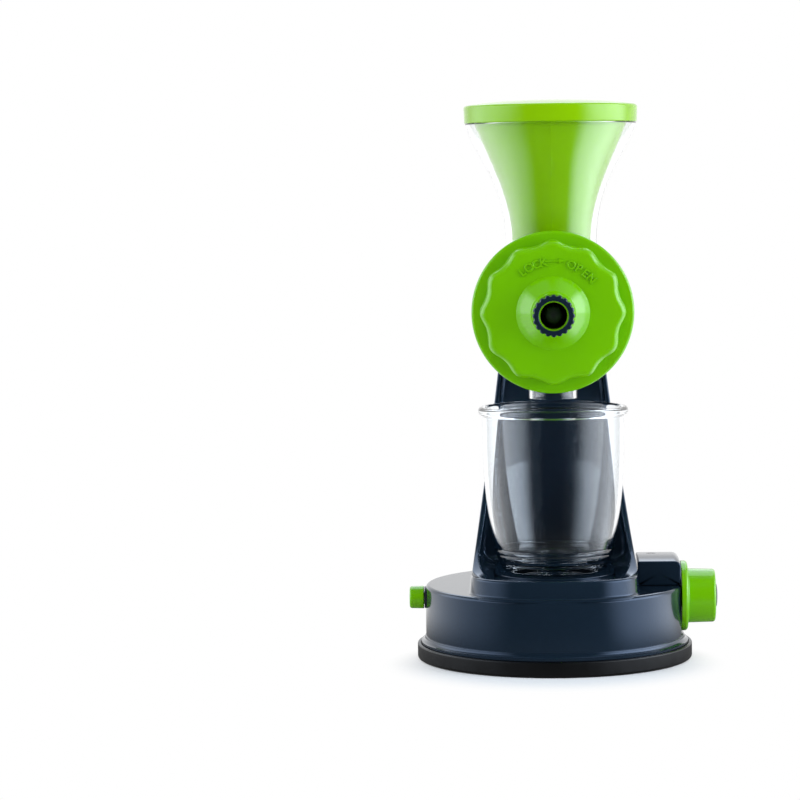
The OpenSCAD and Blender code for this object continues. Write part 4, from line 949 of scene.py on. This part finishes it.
def table_finish(tree, place, lamp):
    """White table paper. Close round the juicer's front the camera sees it as it is lit, with the
    shadow, and from 0.1 m of there as plain white. Its mirror image in the juicer is dim close by,
    and further out as dark in front and as bright at the sides as the room is."""
    fibre = add_node(tree, "TexNoise", {}, {"Vector": place, "Scale": per_mm(1.5), "Detail": 3.0})
    relief = add_node(tree, "Bump", {}, {"Height": fibre, "Strength": 0.05, "Distance": 0.00005})
    paper = add_node(tree, "BsdfDiffuse", {}, {"Color": linear("#FBFBFB"), "Normal": relief})
    path = add_node(tree, "LightPath").outputs
    from_front = add_node(tree, "VectorMath", {"operation": 'DISTANCE'}, {
        0: place, 1: (0, -0.028, 0)})
    unshaded = add_node(tree, "MapRange", {"interpolation_type": 'SMOOTHSTEP'}, {
        "Value": from_front, "From Min": 0.06, "From Max": 0.1})
    seen = add_node(tree, "Math", {"operation": 'MAXIMUM'}, {
        0: path["Is Camera Ray"], 1: path["Is Transmission Ray"]})
    plain = add_node(tree, "Math", {"operation": 'MULTIPLY'}, {0: seen, 1: unshaded})
    share = add_node(tree, "Math", {"operation": 'MAXIMUM'}, {0: plain, 1: path["Is Glossy Ray"]})
    from_middle = add_node(tree, "VectorMath", {"operation": 'LENGTH'}, {0: place})
    open_table = add_node(tree, "MapRange", {"interpolation_type": 'SMOOTHSTEP'}, {
        "Value": from_middle, "From Min": 0.1, "From Max": 0.26})
    # Painted reflection: for glossy rays the table glows, dim grey close round the juicer and further
    # out with the room's dark front and bright softbox patches, instead of reflecting its own light.
    mirrored = add_node(tree, "Mix", {"data_type": 'RGBA'}, {
        0: open_table, 6: (0.2, 0.2, 0.2, 1.0), 7: room_walls(tree, place, lamp, 2.0, 0.5)})
    level = add_node(tree, "Mix", {"data_type": 'RGBA'}, {
        0: path["Is Glossy Ray"], 6: (1, 1, 1, 1), 7: mirrored})
    glow = add_node(tree, "Emission", {}, {"Color": level, "Strength": 1.0})
    return add_node(tree, "MixShader", {}, {0: share, 1: paper, 2: glow})


def set_surroundings(scene, fill, lamp):
    """White all round for what is seen directly; for reflections and for what glass bends into view,
    the room with a softbox at each side and one overhead; for plain light, also through clear
    plastic, an even fill."""
    world = bpy.data.worlds.new("studio")
    scene.world = world
    world.use_nodes = True
    tree = world.node_tree
    tree.nodes.clear()
    path = add_node(tree, "LightPath").outputs
    direction = add_node(tree, "TexCoord").outputs["Generated"]
    upward = add_node(tree, "SeparateXYZ", {}, {0: direction}).outputs["Z"]
    low = add_node(tree, "MapRange", {"interpolation_type": 'SMOOTHSTEP'}, {
        "Value": upward, "From Min": 0.45, "From Max": 0.7, "To Min": 1.0, "To Max": 0.1})
    walls = add_node(tree, "VectorMath", {"operation": 'SCALE'}, {
        0: room_walls(tree, direction, lamp, 4.6, 2.0), "Scale": low})
    # The overhead softbox: its middle stands 38 degrees behind the point straight above.
    near = add_node(tree, "VectorMath", {"operation": 'DOT_PRODUCT'}, {
        0: direction, 1: (0, 0.616, 0.788)})
    overhead = add_node(tree, "MapRange", {"interpolation_type": 'SMOOTHSTEP'}, {
        "Value": near, "From Min": 0.83, "From Max": 0.925})
    room = add_node(tree, "VectorMath", {"operation": 'MULTIPLY_ADD'}, {
        0: overhead, 1: tuple(2.6 * c for c in lamp[:3]), 2: walls})
    bent = add_node(tree, "Math", {"operation": 'MAXIMUM'}, {
        0: path["Is Glossy Ray"], 1: path["Is Transmission Ray"]})
    direct = add_node(tree, "Math", {"operation": 'LESS_THAN'}, {0: path["Diffuse Depth"], 1: 0.5})
    sharp = add_node(tree, "Math", {"operation": 'MINIMUM'}, {0: bent, 1: direct})
    other = add_node(tree, "Mix", {"data_type": 'RGBA'}, {
        0: sharp, 6: (fill, fill, fill, 1.0), 7: room})
    level = add_node(tree, "Mix", {"data_type": 'RGBA'}, {
        0: path["Is Camera Ray"], 6: other, 7: (1, 1, 1, 1)})
    background = add_node(tree, "Background", {}, {"Color": level, "Strength": 1.0})
    add_node(tree, "OutputWorld", {}, {"Surface": background})


def softbox(name, place, aim, width, height, radiance, colour):
    """A rectangular lamp at a place, aimed at a point. Its power follows from its brightness: power
    is brightness times area times pi. Its mirror image is the room's own bright wall."""
    lamp = bpy.data.lights.new(name, 'AREA')
    lamp.shape = 'RECTANGLE'
    lamp.size, lamp.size_y = width, height
    lamp.energy = radiance * width * height * np.pi
    lamp.color = colour
    holder = bpy.data.objects.new(name, lamp)
    bpy.context.scene.collection.objects.link(holder)
    holder.visible_camera = holder.visible_glossy = holder.visible_transmission = False
    holder.location = place
    holder.rotation_euler = (Vector(aim) - Vector(place)).to_track_quat('-Z', 'Y').to_euler()


def add_camera(scene):
    """The camera in front of the juicer and a little above it: its place, turn, tilt and roll come
    from the ellipses and edges of the photograph, for a frame 800 pixels wide."""
    focal_pixels, frame_pixels = 2914.4, 800
    lens = bpy.data.cameras.new("camera")
    lens.sensor_width = 36
    lens.lens = focal_pixels * lens.sensor_width / frame_pixels
    camera = bpy.data.objects.new("camera", lens)
    scene.collection.objects.link(camera)
    camera.location = (-0.0186, -1.6924, 0.2764)
    turn = Euler((np.radians(90 - 4.24), 0, np.radians(2.373)), 'XYZ').to_matrix()
    roll = Euler((0, 0, np.radians(-0.724)), 'XYZ').to_matrix()
    camera.rotation_euler = (turn @ roll).to_euler()
    scene.camera = camera


# ---- Panel, registration and run ----

OPERATORS = (JUICER_OT_stage, JUICER_OT_base, JUICER_OT_stand, JUICER_OT_cover, JUICER_OT_knob,
             JUICER_OT_glass, JUICER_OT_hopper, JUICER_OT_pusher, JUICER_OT_ring,
             JUICER_OT_lettering, JUICER_OT_nut, JUICER_OT_auger, JUICER_OT_crank, JUICER_OT_inner)
GROUPS = {"juicer_colours": JuicerColours, "juicer_sizes": JuicerSizes,
          "juicer_studio": JuicerStudio}


class JUICER_PT_pieces(Panel):
    bl_label = "Juicer"
    bl_space_type = 'VIEW_3D'
    bl_region_type = 'UI'
    bl_category = "Juicer"

    def draw(self, context):
        for key, group in GROUPS.items():
            box = self.layout.box()
            for name in group.__annotations__:
                box.prop(getattr(context.scene, key), name)
        for operator in OPERATORS:
            self.layout.operator(operator.bl_idname)


def register():
    for item in (*GROUPS.values(), *OPERATORS, JUICER_PT_pieces):
        bpy.utils.register_class(item)
    for key, group in GROUPS.items():
        setattr(bpy.types.Scene, key, PointerProperty(type=group))


def unregister():
    for key in GROUPS:
        delattr(bpy.types.Scene, key)
    for item in (JUICER_PT_pieces, *reversed(OPERATORS), *reversed(GROUPS.values())):
        bpy.utils.unregister_class(item)


def main():
    """Runs every operator in order."""
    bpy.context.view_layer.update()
    register()
    for operator in OPERATORS:
        group, name = operator.bl_idname.split(".")
        getattr(getattr(bpy.ops, group), name)()


if __name__ == "__main__":
    main()
